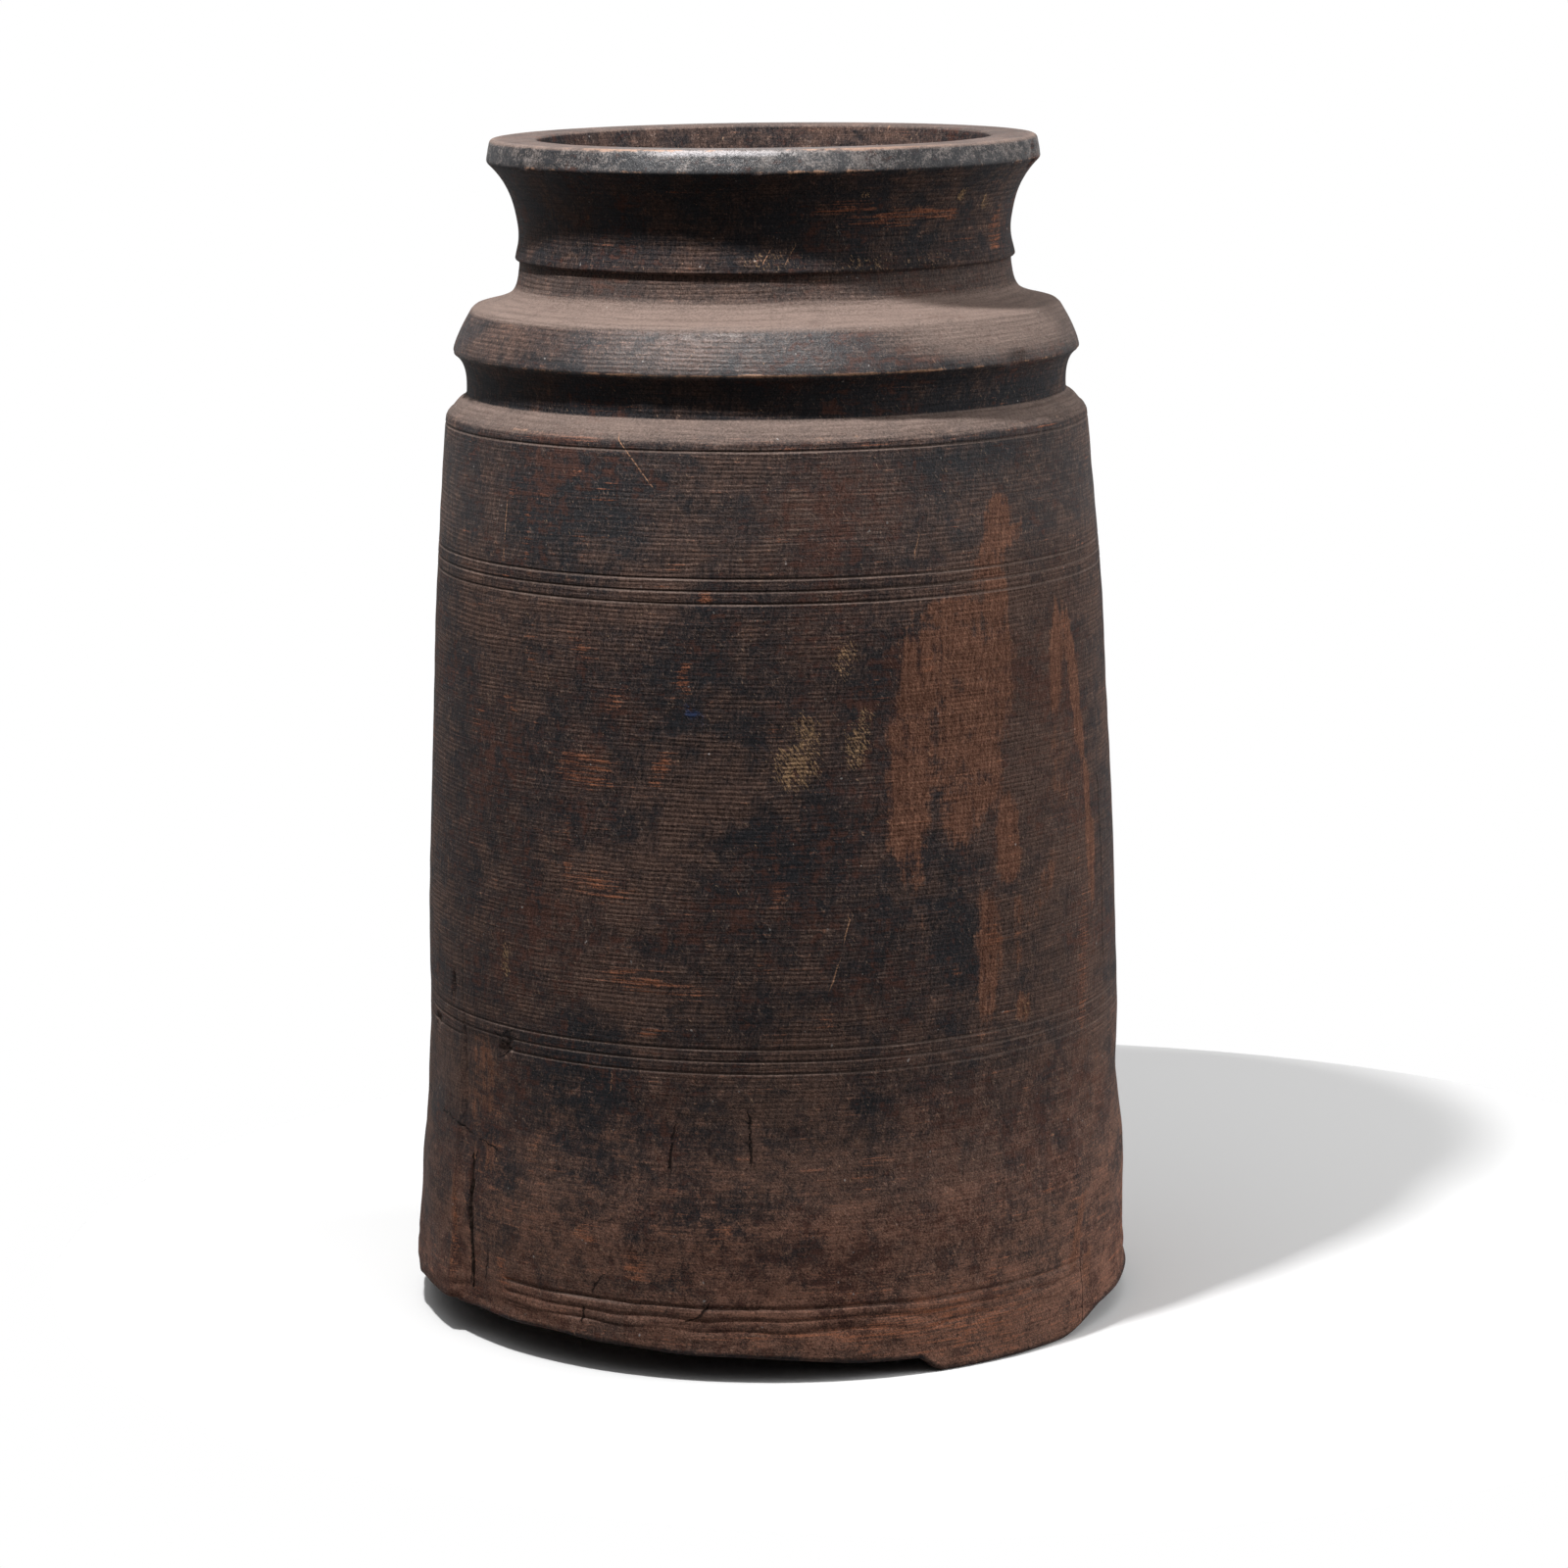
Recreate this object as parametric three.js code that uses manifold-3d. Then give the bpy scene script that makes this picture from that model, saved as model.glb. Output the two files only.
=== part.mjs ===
// A milk pot turned on a lathe from one log.
// A rim, a neck and a stepped shoulder stand over a tall body with cut line grooves.
// The log was hollowed right through. Its lower end is closed by a round board, pushed up
// from below against a step in the wall and sealed with a bead of pitch.
// Three low feet are left standing on the wall's lower edge.
// Sizes are in millimetres. +Z is up, the origin is on the turning axis at floor level,
// and angles are counted from -Y towards +X.

import * as THREE from 'three';
import { mergeVertices } from 'three/addons/utils/BufferGeometryUtils.js';
import Module from 'manifold-3d';

const wasm = await Module();
wasm.setup();

// Heights, stacked from the floor up
const footHeight = 8.9;
const bodyHeight = 338.1;
const coveHeight = 22.9;
const ringHeight = 16.1;
const shelfHeight = 14;
const neckHeight = 42;
const rimHeight = 8;

// Outside radii
const sideRadius = 134.6;
const bodyTopRadius = 121.9;
const coveRadius = 114.4;
const ringEdgeRadius = 119.3;
const ringTopRadius = 112.4;
const neckFootRadius = 93.9;
const neckRadius = 93.6;
const rimRadius = 105.1;
const lipRadius = 103.3;

// Inside sizes
const mouthRadius = 86;
const mouthBevel = 1.6;
const neckWall = 12;
const shoulderWall = 14;
const bodyWall = 18;

// Swelling at the lower end of the body
const swelling = 3.2;
const swellingHeight = 40;
const swellingFade = 46;
const baseChamfer = 2.4;

// Curved side of the body: how late the taper sets in
const taperPower = 2.15;
const sideRows = 8;

// Small turned details
const ledgeHeight = 8;
const coveFloor = 4.5;
const shelfHollow = 1.6;
const shelfRise = 3.8;
const neckRingRise = 1.1;
const neckRingHeight = 5.5;
const neckRingWidth = 8;
const edgeRound = 1.3;

// Line grooves
const grooveWidth = 2.2;
const grooveDepth = 0.9;
const groovePitch = 4.5;
const groovesInBand = 3;
const edgeGrooveDrop = 3.5;
const upperBandDrop = 53.7;
const middleBandRise = 112.3;
const lowerBandRise = 15.6;

// Feet, and the waviness of the worn lower edge between them
const footAngles = [39, 147, -117];
const footHalfSpan = 12.5;
const footFlank = 5;
const edgeWave = 3.9;
const edgeWaveAngle = -50;

// Zones that the lathe tool missed: a proud lobe on the left, a flat on the right
const lobe = { from: -112, to: -58, rise: 2, top: 120, fade: 40 };
const flat = { from: 56, to: 106, rise: -1.6, top: 80, fade: 30 };
const zoneRamp = 5;

// Let-in bottom board and its bead of pitch
const boardRecess = 12;
const boardThickness = 20;
const boardStep = 7.5;
const skirtWall = 13.7;
const boardChamfer = 2;
const beadSize = 6;
const seatGap = 0.3;

// Drying split in the lower wall, filled with pitch
const splitAngle = -57;
const splitRise = 38;
const splitLength = 54;
const splitWidth = 6;
const splitDepth = 7;
const splitSteps = 10;
const fillingSink = 0.4;

const columns = 60;

// Levels worked out from the heights
const bodyTopLevel = footHeight + bodyHeight;
const ringEdgeLevel = bodyTopLevel + coveHeight;
const ringTopLevel = ringEdgeLevel + ringHeight;
const neckFootLevel = ringTopLevel + shelfHeight;
const rimLevel = neckFootLevel + neckHeight;
const lipLevel = rimLevel + rimHeight;
const boardLevel = footHeight + boardRecess;
const stepLevel = boardLevel + boardThickness + seatGap;
const baseRadius = sideRadius + swelling;
const boreRadius = baseRadius - skirtWall;

const smooth = (t) => {
  const s = THREE.MathUtils.clamp(t, 0, 1);
  return s * s * (3 - 2 * s);
};

// The body's outside radius at a height: a slow taper, with the swelling added low down.
function sideRadiusAt(level) {
  const start = footHeight + swellingHeight;
  const t = THREE.MathUtils.clamp((level - start) / (bodyTopLevel - start), 0, 1);
  const taper = (sideRadius - bodyTopRadius) * t ** taperPower;
  return sideRadius - taper + swelling * (1 - smooth((level - start) / swellingFade));
}

// Heights of all line grooves, from the lowest up.
function grooveLevels() {
  const bands = [footHeight + lowerBandRise, footHeight + middleBandRise, bodyTopLevel - upperBandDrop];
  const levels = [];
  for (const band of bands) {
    for (let i = 0; i < groovesInBand; i++) {
      levels.push(band + (i - (groovesInBand - 1) / 2) * groovePitch);
    }
  }
  levels.push(bodyTopLevel - edgeGrooveDrop);
  return levels;
}

// Points of the body's side, with a three-point V at each groove.
function sidePoints() {
  const rows = [];
  const grooves = grooveLevels();
  const low = footHeight + baseChamfer;
  const high = bodyTopLevel - edgeRound;
  for (let i = 0; i <= sideRows; i++) {
    const level = THREE.MathUtils.lerp(low, high, i / sideRows);
    const nearest = Math.min(...grooves.map((groove) => Math.abs(groove - level)));
    if (nearest > groovePitch || i === 0 || i === sideRows) {
      rows.push({ level, depth: 0 });
    }
  }
  for (const groove of grooves) {
    rows.push({ level: groove - grooveWidth / 2, depth: 0 });
    rows.push({ level: groove, depth: grooveDepth });
    rows.push({ level: groove + grooveWidth / 2, depth: 0 });
  }
  for (const level of [footHeight + swellingHeight, footHeight + swellingHeight + swellingFade / 2]) {
    rows.push({ level, depth: 0 });
  }
  rows.sort((a, b) => a.level - b.level);
  return rows.map((row) => ({ radius: sideRadiusAt(row.level) - row.depth, level: row.level, groove: row.depth }));
}

// Points of a quarter-like curve from one point to another, bending through a corner.
function bend(from, corner, to, steps) {
  const curve = new THREE.QuadraticBezierCurve(
    new THREE.Vector2(...from),
    new THREE.Vector2(...corner),
    new THREE.Vector2(...to),
  );
  return curve.getPoints(steps).slice(1);
}

// Outside of the cove, shoulder ring, shelf, neck and rim, from the body's top edge up.
function shoulderPoints() {
  const ledgeTop = bodyTopLevel + ledgeHeight;
  const coveTop = ledgeTop + coveFloor;
  const neckRingLevel = neckFootLevel + neckRingHeight;
  const waist = neckRingLevel + neckRingWidth;
  const shelfEdge = { radius: ringTopRadius - edgeRound, level: ringTopLevel + edgeRound * 0.8 };
  return [
    [bodyTopRadius - edgeRound * 0.5, bodyTopLevel + edgeRound * 0.3],
    ...bend([bodyTopRadius - edgeRound, bodyTopLevel + edgeRound], [coveRadius + 1, ledgeTop - 1],
      [coveRadius, ledgeTop], 2),
    [coveRadius, coveTop],
    ...bend([coveRadius, coveTop], [coveRadius + 1, ringEdgeLevel - 3], [ringEdgeRadius, ringEdgeLevel], 3),
    ...bend([ringEdgeRadius, ringEdgeLevel], [ringEdgeRadius - 0.7, ringEdgeLevel + ringHeight / 3],
      [ringTopRadius, ringTopLevel], 3),
    [shelfEdge.radius, shelfEdge.level],
    ...bend([shelfEdge.radius, shelfEdge.level], [neckFootRadius + shelfHollow, shelfEdge.level + shelfRise],
      [neckFootRadius, neckFootLevel], 5),
    ...bend([neckFootRadius, neckFootLevel], [neckRadius + neckRingRise * 2, neckRingLevel],
      [neckRadius, waist], 3),
    ...bend([neckRadius, waist], [neckRadius + 0.5, rimLevel - 12], [rimRadius - 0.6, rimLevel - 1.2], 5),
    [rimRadius, rimLevel],
    [rimRadius - 0.4, rimLevel + rimHeight * 0.35],
    [lipRadius + 0.7, lipLevel - 1.2],
    [lipRadius - 0.2, lipLevel],
  ];
}

// Inside of the pot from the mouth down to the board's step and out of the lower end.
function insidePoints() {
  const neckInside = neckRadius - neckWall;
  const shoulderInside = coveRadius - shoulderWall;
  const points = [
    [mouthRadius + mouthBevel, lipLevel],
    [mouthRadius, lipLevel - mouthBevel],
    [neckInside, rimLevel - neckHeight / 2],
    [neckInside, neckFootLevel - shelfHeight / 4],
    ...bend([neckInside, neckFootLevel - shelfHeight / 4], [shoulderInside, ringTopLevel - 4],
      [shoulderInside, bodyTopLevel + ledgeHeight / 2], 4),
  ];
  const top = bodyTopLevel - coveHeight;
  const insideRows = 5;
  for (let i = 0; i < insideRows; i++) {
    const level = THREE.MathUtils.lerp(top, stepLevel + boardThickness, i / (insideRows - 1));
    points.push([Math.min(sideRadiusAt(level), sideRadius) - bodyWall, level]);
  }
  points.push([boreRadius - boardStep, stepLevel]);
  points.push([boreRadius, stepLevel]);
  points.push([boreRadius, footHeight + baseChamfer]);
  points.push([boreRadius + baseChamfer / 2, footHeight]);
  points.push([baseRadius - baseChamfer, footHeight]);
  return points;
}

// One closed outline of the wall. Each point remembers its groove depth and whether it is outside.
function wallOutline() {
  const outline = sidePoints().map((point) => ({ ...point, outside: true }));
  for (const [radius, level] of shoulderPoints()) {
    outline.push({ radius, level, groove: 0, outside: true });
  }
  for (const [radius, level] of insidePoints()) {
    outline.push({ radius, level, groove: 0, outside: false });
  }
  outline.push({ ...outline[0] });
  return outline;
}

// How far an angle lies inside a zone that the tool missed, from 0 to 1, fading out at its top.
function zoneShare(zone, angle, level) {
  const inside = Math.min(angle - zone.from, zone.to - angle);
  return smooth(inside / zoneRamp) * (1 - smooth((level - zone.top + zone.fade) / zone.fade));
}

// How far the lower edge moves down at an angle: full at a foot, the wave alone elsewhere.
function edgeDrop(angle) {
  let foot = 0;
  for (const centre of footAngles) {
    const away = Math.abs(THREE.MathUtils.euclideanModulo(angle - centre + 180, 360) - 180);
    foot = Math.max(foot, THREE.MathUtils.clamp((footHalfSpan + footFlank - away) / footFlank, 0, 1));
  }
  const wave = edgeWave * Math.cos(THREE.MathUtils.degToRad(2 * (angle - edgeWaveAngle)));
  return THREE.MathUtils.lerp(-wave, footHeight, foot);
}

// Lathe geometry turns about Y; this stands it up along Z.
function turned(points) {
  const geometry = new THREE.LatheGeometry(points.map(([radius, level]) => new THREE.Vector2(radius, level)), columns);
  geometry.rotateX(Math.PI / 2);
  return geometry;
}

// Only the places of the vertices are kept, so that shared ones can be merged.
function plain(geometry) {
  geometry.deleteAttribute('normal');
  geometry.deleteAttribute('uv');
  return mergeVertices(geometry, 1e-4);
}

function toSolid(geometry) {
  const mesh = new wasm.Mesh({
    numProp: 3,
    vertProperties: new Float32Array(geometry.getAttribute('position').array),
    triVerts: new Uint32Array(geometry.getIndex().array),
  });
  return new wasm.Manifold(mesh);
}

function toGeometry(solid) {
  const mesh = solid.getMesh();
  const geometry = new THREE.BufferGeometry();
  geometry.setAttribute('position', new THREE.BufferAttribute(new Float32Array(mesh.vertProperties), 3));
  geometry.setIndex(new THREE.BufferAttribute(new Uint32Array(mesh.triVerts), 1));
  return geometry;
}

// The turned wall, with its feet, wavy lower edge, lobe and flat worked into it.
function wallGeometry() {
  const outline = wallOutline();
  const geometry = turned(outline.map((point) => [point.radius, point.level]));
  const position = geometry.getAttribute('position');
  for (let i = 0; i < position.count; i++) {
    const point = outline[i % outline.length];
    const x = position.getX(i);
    const y = position.getY(i);
    const angle = THREE.MathUtils.radToDeg(Math.atan2(x, -y));
    let radius = point.radius;
    let level = point.level;
    if (point.outside) {
      const proud = zoneShare(lobe, angle, level);
      radius += lobe.rise * proud + flat.rise * zoneShare(flat, angle, level) + point.groove * proud;
    }
    if (level <= footHeight + baseChamfer) {
      level -= edgeDrop(angle);
    }
    position.setXYZ(i, (x * radius) / point.radius, (y * radius) / point.radius, level);
  }
  return plain(geometry);
}

// Outline of the split: a long leaf, pointed at both ends and a little crooked.
function leafShape(length, width) {
  const right = [];
  const left = [];
  for (let i = 1; i < splitSteps; i++) {
    const t = i / splitSteps;
    const half = (width / 2) * Math.sin(Math.PI * t) ** 0.7;
    const crook = (splitWidth / 6) * Math.sin(3 * Math.PI * t);
    right.push(new THREE.Vector2(crook + half, length * (t - 0.5)));
    left.unshift(new THREE.Vector2(crook - half, length * (t - 0.5)));
  }
  return new THREE.Shape([new THREE.Vector2(0, -length / 2), ...right, new THREE.Vector2(0, length / 2), ...left]);
}

// A leaf-shaped block in the wall, from one radius out to another.
function leafBlock(length, width, innerRadius, outerRadius) {
  const options = { depth: outerRadius - innerRadius, bevelEnabled: false, steps: 1 };
  const geometry = new THREE.ExtrudeGeometry(leafShape(length, width), options);
  geometry.translate(0, 0, innerRadius);
  geometry.rotateX(Math.PI / 2);
  geometry.rotateZ(THREE.MathUtils.degToRad(splitAngle));
  geometry.translate(0, 0, footHeight + splitRise);
  return plain(geometry);
}

const splitSurface = sideRadiusAt(footHeight + splitRise);
const splitFloor = splitSurface - splitDepth;

function bodyGeometry() {
  const wall = toSolid(wallGeometry());
  const slot = toSolid(leafBlock(splitLength, splitWidth, splitFloor, splitSurface + splitDepth));
  return toGeometry(wall.subtract(slot));
}

function fillingGeometry() {
  return leafBlock(
    splitLength - 6 * seatGap,
    splitWidth - 2 * seatGap,
    splitFloor + seatGap,
    splitSurface - fillingSink,
  );
}

// The board is a plain disc with its two edges broken by chamfers.
function boardGeometry() {
  const radius = boreRadius - seatGap;
  const top = boardLevel + boardThickness;
  return plain(turned([
    [0, boardLevel],
    [radius - boardChamfer, boardLevel],
    [radius, boardLevel + boardChamfer],
    [radius, top - boardChamfer],
    [radius - boardChamfer, top],
    [0, top],
  ]));
}

// The bead fills the corner between the board's underside and the wall, with a hollow face.
function beadGeometry() {
  const radius = boreRadius - seatGap;
  const top = boardLevel - seatGap;
  const face = bend([radius, top - beadSize], [radius - beadSize / 4, top - beadSize / 4],
    [radius - beadSize, top], 3);
  return plain(turned([[radius, top - beadSize], [radius, top], ...face.reverse(), [radius, top - beadSize]]));
}

function pieceOf(name, geometry, material) {
  const mesh = new THREE.Mesh(geometry, material);
  mesh.name = name;
  return mesh;
}

const wood = new THREE.MeshStandardMaterial({ color: '#3d322d', roughness: 0.5, metalness: 0 });
const innerWood = new THREE.MeshStandardMaterial({ color: '#4a3a30', roughness: 0.75, metalness: 0 });
const pitch = new THREE.MeshStandardMaterial({ color: '#17130f', roughness: 0.4, metalness: 0 });
const oldPitch = new THREE.MeshStandardMaterial({ color: '#1e1b1a', roughness: 0.7, metalness: 0 });

const pot = new THREE.Group();
pot.add(pieceOf('pot_body', bodyGeometry(), wood));
pot.add(pieceOf('bottom_board', boardGeometry(), innerWood));
pot.add(pieceOf('bottom_seal', beadGeometry(), pitch));
pot.add(pieceOf('split_filling', fillingGeometry(), oldPitch));

export default pot;
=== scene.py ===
# %% [markdown]
# # A turned wooden milk pot
# The pot is one log, shaped on a slow lathe with hand tools and hollowed right through.
# Years of milk, smoke and hands have left it nearly black, with brown wood showing where it is worn.
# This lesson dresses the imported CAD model: first the shapes of the four pieces, then one finish for
# each material, and at the end the floor, the light and the camera.
# The CAD model is loaded first and is never moved. Every piece below is made in the same frame.

import bpy
import numpy as np
from mathutils import Euler, Matrix


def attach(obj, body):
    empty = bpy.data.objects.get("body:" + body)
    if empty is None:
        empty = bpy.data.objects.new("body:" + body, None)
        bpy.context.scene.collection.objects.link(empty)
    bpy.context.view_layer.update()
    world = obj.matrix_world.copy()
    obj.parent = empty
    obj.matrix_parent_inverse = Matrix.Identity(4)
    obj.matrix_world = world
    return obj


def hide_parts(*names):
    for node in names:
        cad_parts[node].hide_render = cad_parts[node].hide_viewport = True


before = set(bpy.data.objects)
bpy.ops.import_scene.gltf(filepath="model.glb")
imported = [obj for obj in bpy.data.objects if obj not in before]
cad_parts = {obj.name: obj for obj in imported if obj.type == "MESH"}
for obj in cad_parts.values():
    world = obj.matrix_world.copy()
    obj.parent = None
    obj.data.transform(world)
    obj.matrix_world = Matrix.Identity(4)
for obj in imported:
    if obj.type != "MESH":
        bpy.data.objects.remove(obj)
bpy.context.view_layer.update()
print("CAD nodes:", sorted(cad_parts))

# %% [markdown]
# ## The turned outline
# On the real pot the whole outside is one outline, cut while the log turns. So the wall is built the
# way a turner thinks of it: a list of radii against heights, carried round the axis.
# The sizes are in millimetres and are the ones that the CAD model uses. Heights stack from the floor.

# %% Sizes of the outline
METRE = 0.001

foot_height = 8.9
body_height = 338.1
cove_height = 22.9
ring_height = 16.1
shelf_height = 14.0
neck_height = 42.0
rim_height = 8.0

body_top = foot_height + body_height
ring_edge = body_top + cove_height
ring_top = ring_edge + ring_height
neck_foot = ring_top + shelf_height
rim_level = neck_foot + neck_height
lip_level = rim_level + rim_height

side_radius = 134.6
swelling = 3.2
swelling_height = 40.0
swelling_fade = 46.0
body_top_radius = 121.9
taper_power = 2.15
cove_radius = 114.4
ring_edge_radius = 119.3
ring_top_radius = 112.4
neck_foot_radius = 93.9
neck_radius = 93.6
rim_radius = 105.1
lip_radius = 103.3
mouth_radius = 86.0
neck_wall = 12.0
shoulder_wall = 14.0
body_wall = 18.0
skirt_wall = 13.7

board_recess = 12.0
board_thickness = 20.0
board_step = 7.5
seat_gap = 0.3
board_level = foot_height + board_recess
step_level = board_level + board_thickness + seat_gap
base_radius = side_radius + swelling
bore_radius = base_radius - skirt_wall
print("outline from", foot_height, "to", lip_level, "mm")


# %% Three helpers: a soft step, a bent stretch and a chain of them
def smooth(t):
    """Soft step: 3t^2 - 2t^3, with t held between 0 and 1."""
    t = np.clip(t, 0.0, 1.0)
    return t * t * (3.0 - 2.0 * t)


def bend(start, corner, end, rows):
    """A curve that leaves start towards corner and reaches end from it.
    Its points are (1-t)^2 start + 2t(1-t) corner + t^2 end, for rows steps of t, without start."""
    t = np.linspace(0.0, 1.0, rows + 1)[1:, None]
    start, corner, end = (np.array(p, float) for p in (start, corner, end))
    return (1 - t) ** 2 * start + 2 * t * (1 - t) * corner + t ** 2 * end


def chain(start, stretches):
    """Bent stretches in a row, each from the end of the last. One stretch is a corner, an end and
    its number of rows."""
    points = []
    for corner, end, rows in stretches:
        points.append(bend(start, corner, end, rows))
        start = end
    return np.concatenate(points)


# %% [markdown]
# ## Line grooves
# Three bands of three lines, and one line under the body's top edge, were cut with the corner of a
# tool. Such a cut is a lopsided V: a long lower flank, which faces up and catches the light, and a
# short upper flank in shade. The lowest band stands where the pot is set down and wiped, and is worn
# to wide, soft hollows. The rows of the mesh are close together at grooves and wide apart between.
# A groove is its height, its width, its depth and a power that says how soft its lips are.

# %% Rows on the body's side
groove_pitch = 4.5
lower_band = foot_height + 15.6
middle_band = foot_height + 112.3
upper_band = body_top - 53.7
edge_groove = body_top - 3.5
row_step = 3.3
base_chamfer = 2.4
upper_flank = 0.26
lower_flank = 0.62
fine_groove = (1.6, 0.36, 0.8)
worn_width = 3.4
worn_depths = (0.6, 0.8, 1.2)
worn_power = 1.7

grooves = []
for centre in (middle_band, upper_band):
    grooves += [(centre + k * groove_pitch, *fine_groove) for k in (-1, 0, 1)]
for k, depth in zip((-1, 0, 1), worn_depths):
    grooves.append((lower_band + k * groove_pitch, worn_width, depth, worn_power))
grooves.append((edge_groove, *fine_groove))


def side_radius_at(level):
    """Outside radius of the body: side radius, less a taper that grows as a power of the height,
    plus a swelling at the lower end that fades out by a soft step."""
    start = foot_height + swelling_height
    t = np.clip((level - start) / (body_top - start), 0.0, 1.0)
    taper = (side_radius - body_top_radius) * t ** taper_power
    return side_radius - taper + swelling * (1 - smooth((level - start) / swelling_fade))


def groove_cut(level, centre, width, depth, power):
    """Depth of one groove: full at its centre, zero at both lips, with the lower flank the longer.
    The fall from the lips is raised to a power: below 1 the lips are sharp, above 1 they are soft."""
    away = (level - centre) / width
    flank = np.where(away > 0, away / upper_flank, -away / lower_flank)
    return depth * np.clip(1 - flank, 0.0, 1.0) ** power


across = np.array([-0.75, -lower_flank, -0.46, -0.3, -0.15, 0.0, upper_flank / 2, upper_flank, 0.42])
even = np.arange(foot_height + base_chamfer, body_top - 1.0, row_step)
near_groove = np.min([np.abs(even - groove[0]) / groove[1] for groove in grooves], axis=0) < 0.9
fine = np.concatenate([groove[0] + groove[1] * across for groove in grooves])
side_levels = np.sort(np.concatenate([even[~near_groove], fine]))
print(len(side_levels), "rows on the side,", len(grooves), "grooves")

# %% [markdown]
# ## From the body's edge to the inside
# Above the body come a ledge, a hollow cove, a ring with a sharp lower edge, a hollow shelf, a
# faint ring at the neck's foot, and the flare under the rim. Inside, the wall runs down past the
# shoulder to the step that the bottom board is pushed against.
# The outline is a chain of bends, and every bend is tied to the named radii and heights.

# %% The closed outline
ledge_top = body_top + 7.3
cove_top = ledge_top + 4.5
waist = neck_foot + 13.5
neck_bead = neck_foot + 5.4
neck_bead_radius = neck_radius + 1.5
neck_inside = neck_radius - neck_wall
shoulder_inside = cove_radius - shoulder_wall
inside_top = body_top - cove_height

side = np.stack([side_radius_at(side_levels), side_levels], axis=1)
shoulder = chain(side[-1], [
    ([body_top_radius + 0.1, body_top + 0.6], [body_top_radius - 1.6, body_top + 1.4], 4),
    ([cove_radius + 3.6, ledge_top - 2.9], [cove_radius + 2.6, ledge_top - 2.3], 6),
    ([cove_radius + 1.2, ledge_top - 1.9], [cove_radius, ledge_top], 5),
    ([cove_radius - 0.2, cove_top], [cove_radius + 0.3, cove_top + 3.0], 6),
    ([cove_radius + 1.2, ring_edge - 2.6], [ring_edge_radius - 0.5, ring_edge - 0.5], 8),
    ([ring_edge_radius + 0.1, ring_edge], [ring_edge_radius, ring_edge + 0.7], 4),
    ([ring_edge_radius - 0.8, ring_edge + ring_height / 3], [ring_top_radius, ring_top - 0.3], 12),
    ([ring_top_radius - 0.5, ring_top + 0.5], [ring_top_radius - 1.6, ring_top + 1.2], 4),
    ([neck_foot_radius + 5.6, ring_top + 3.6], [neck_foot_radius + 3.0, ring_top + 6.0], 9),
    ([neck_foot_radius + 0.5, ring_top + 8.3], [neck_foot_radius, neck_foot], 6),
    ([neck_radius - 0.1, neck_foot + 2.4], [neck_radius, neck_bead - 1.2], 5),
    ([neck_bead_radius, neck_bead - 0.9], [neck_bead_radius, neck_bead], 4),
    ([neck_bead_radius - 0.3, neck_bead + 1.6], [neck_radius + 0.5, neck_bead + 4.4], 6),
    ([neck_radius - 0.5, waist + 1.0], [neck_radius + 0.6, waist + 7.0], 8),
    ([neck_radius + 2.6, rim_level - 9.0], [rim_radius - 0.8, rim_level - 1.4], 15),
    ([rim_radius, rim_level - 0.6], [rim_radius, rim_level + 0.3], 4),
    ([rim_radius - 0.4, rim_level + 3.0], [lip_radius + 0.7, lip_level - 1.6], 6),
    ([lip_radius + 0.4, lip_level - 0.1], [lip_radius - 1.2, lip_level], 6),
])
lip = bend(shoulder[-1], [94.0, lip_level + 0.05], [mouth_radius + 1.6, lip_level - 0.1], 7)
throat = chain(lip[-1], [
    ([mouth_radius + 0.1, lip_level - 0.2], [mouth_radius, lip_level - 1.8], 4),
    ([neck_inside + 1.0, rim_level - 8.0], [neck_inside, rim_level - neck_height / 2], 6),
    ([neck_inside, neck_foot + 4.0], [neck_inside, neck_foot - shelf_height / 4], 4),
    ([shoulder_inside, ring_top - 4.0], [shoulder_inside, body_top + 4.0], 6),
])
inner_levels = np.linspace(inside_top, step_level + 2.0, 18)
inner = np.stack([np.minimum(side_radius_at(inner_levels), side_radius) - body_wall, inner_levels], axis=1)
lower_end = np.array([
    [bore_radius - board_step, step_level + 0.2],
    [bore_radius - board_step + 0.2, step_level],
    [bore_radius - 0.2, step_level],
    [bore_radius, step_level - 0.3],
    [bore_radius, board_level],
    [bore_radius, foot_height + base_chamfer],
    [bore_radius + 0.4, foot_height + 0.7],
    [bore_radius + 1.6, foot_height],
    [(bore_radius + base_radius) / 2, foot_height],
    [base_radius - base_chamfer, foot_height],
    [base_radius - 1.0, foot_height + 0.4],
    [base_radius - 0.2, foot_height + 1.3],
])
outside = np.concatenate([side, shoulder])
outline = np.concatenate([outside, lip, throat, inner, lower_end])
row_radius, row_level = outline[:, 0], outline[:, 1]
is_outside = np.arange(len(outline)) < len(outside)
print(len(outline), "rows in the outline")

# %% [markdown]
# ## Columns round the axis
# A turned shape needs few columns, but this one has hand-cut places. The columns stand close
# together on the viewer's left, where a split was filled, and wide apart at the back.
# Angles are in degrees from -Y, which faces the viewer, towards +X.
# A number on every point of the grid is an array of rows by columns, and so is each mask below.

# %% The grid of angles and heights
angle_steps = [(-180, -90, 2.5), (-90, -70, 1.0), (-70, -46, 0.5), (-46, 90, 1.25), (90, 180, 2.5)]
angles = np.concatenate([np.arange(first, last, step) for first, last, step in angle_steps])
angle, level = np.meshgrid(angles, row_level)
on_outside = np.repeat(is_outside[:, None], len(angles), axis=1)
print(angle.shape, "rows and columns,", 2 * angle.size, "triangles")


def nearby(centre_angle):
    """Angle away from a centre, in degrees, wrapped to lie between -180 and 180."""
    return (angle - centre_angle + 180.0) % 360.0 - 180.0


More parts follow.
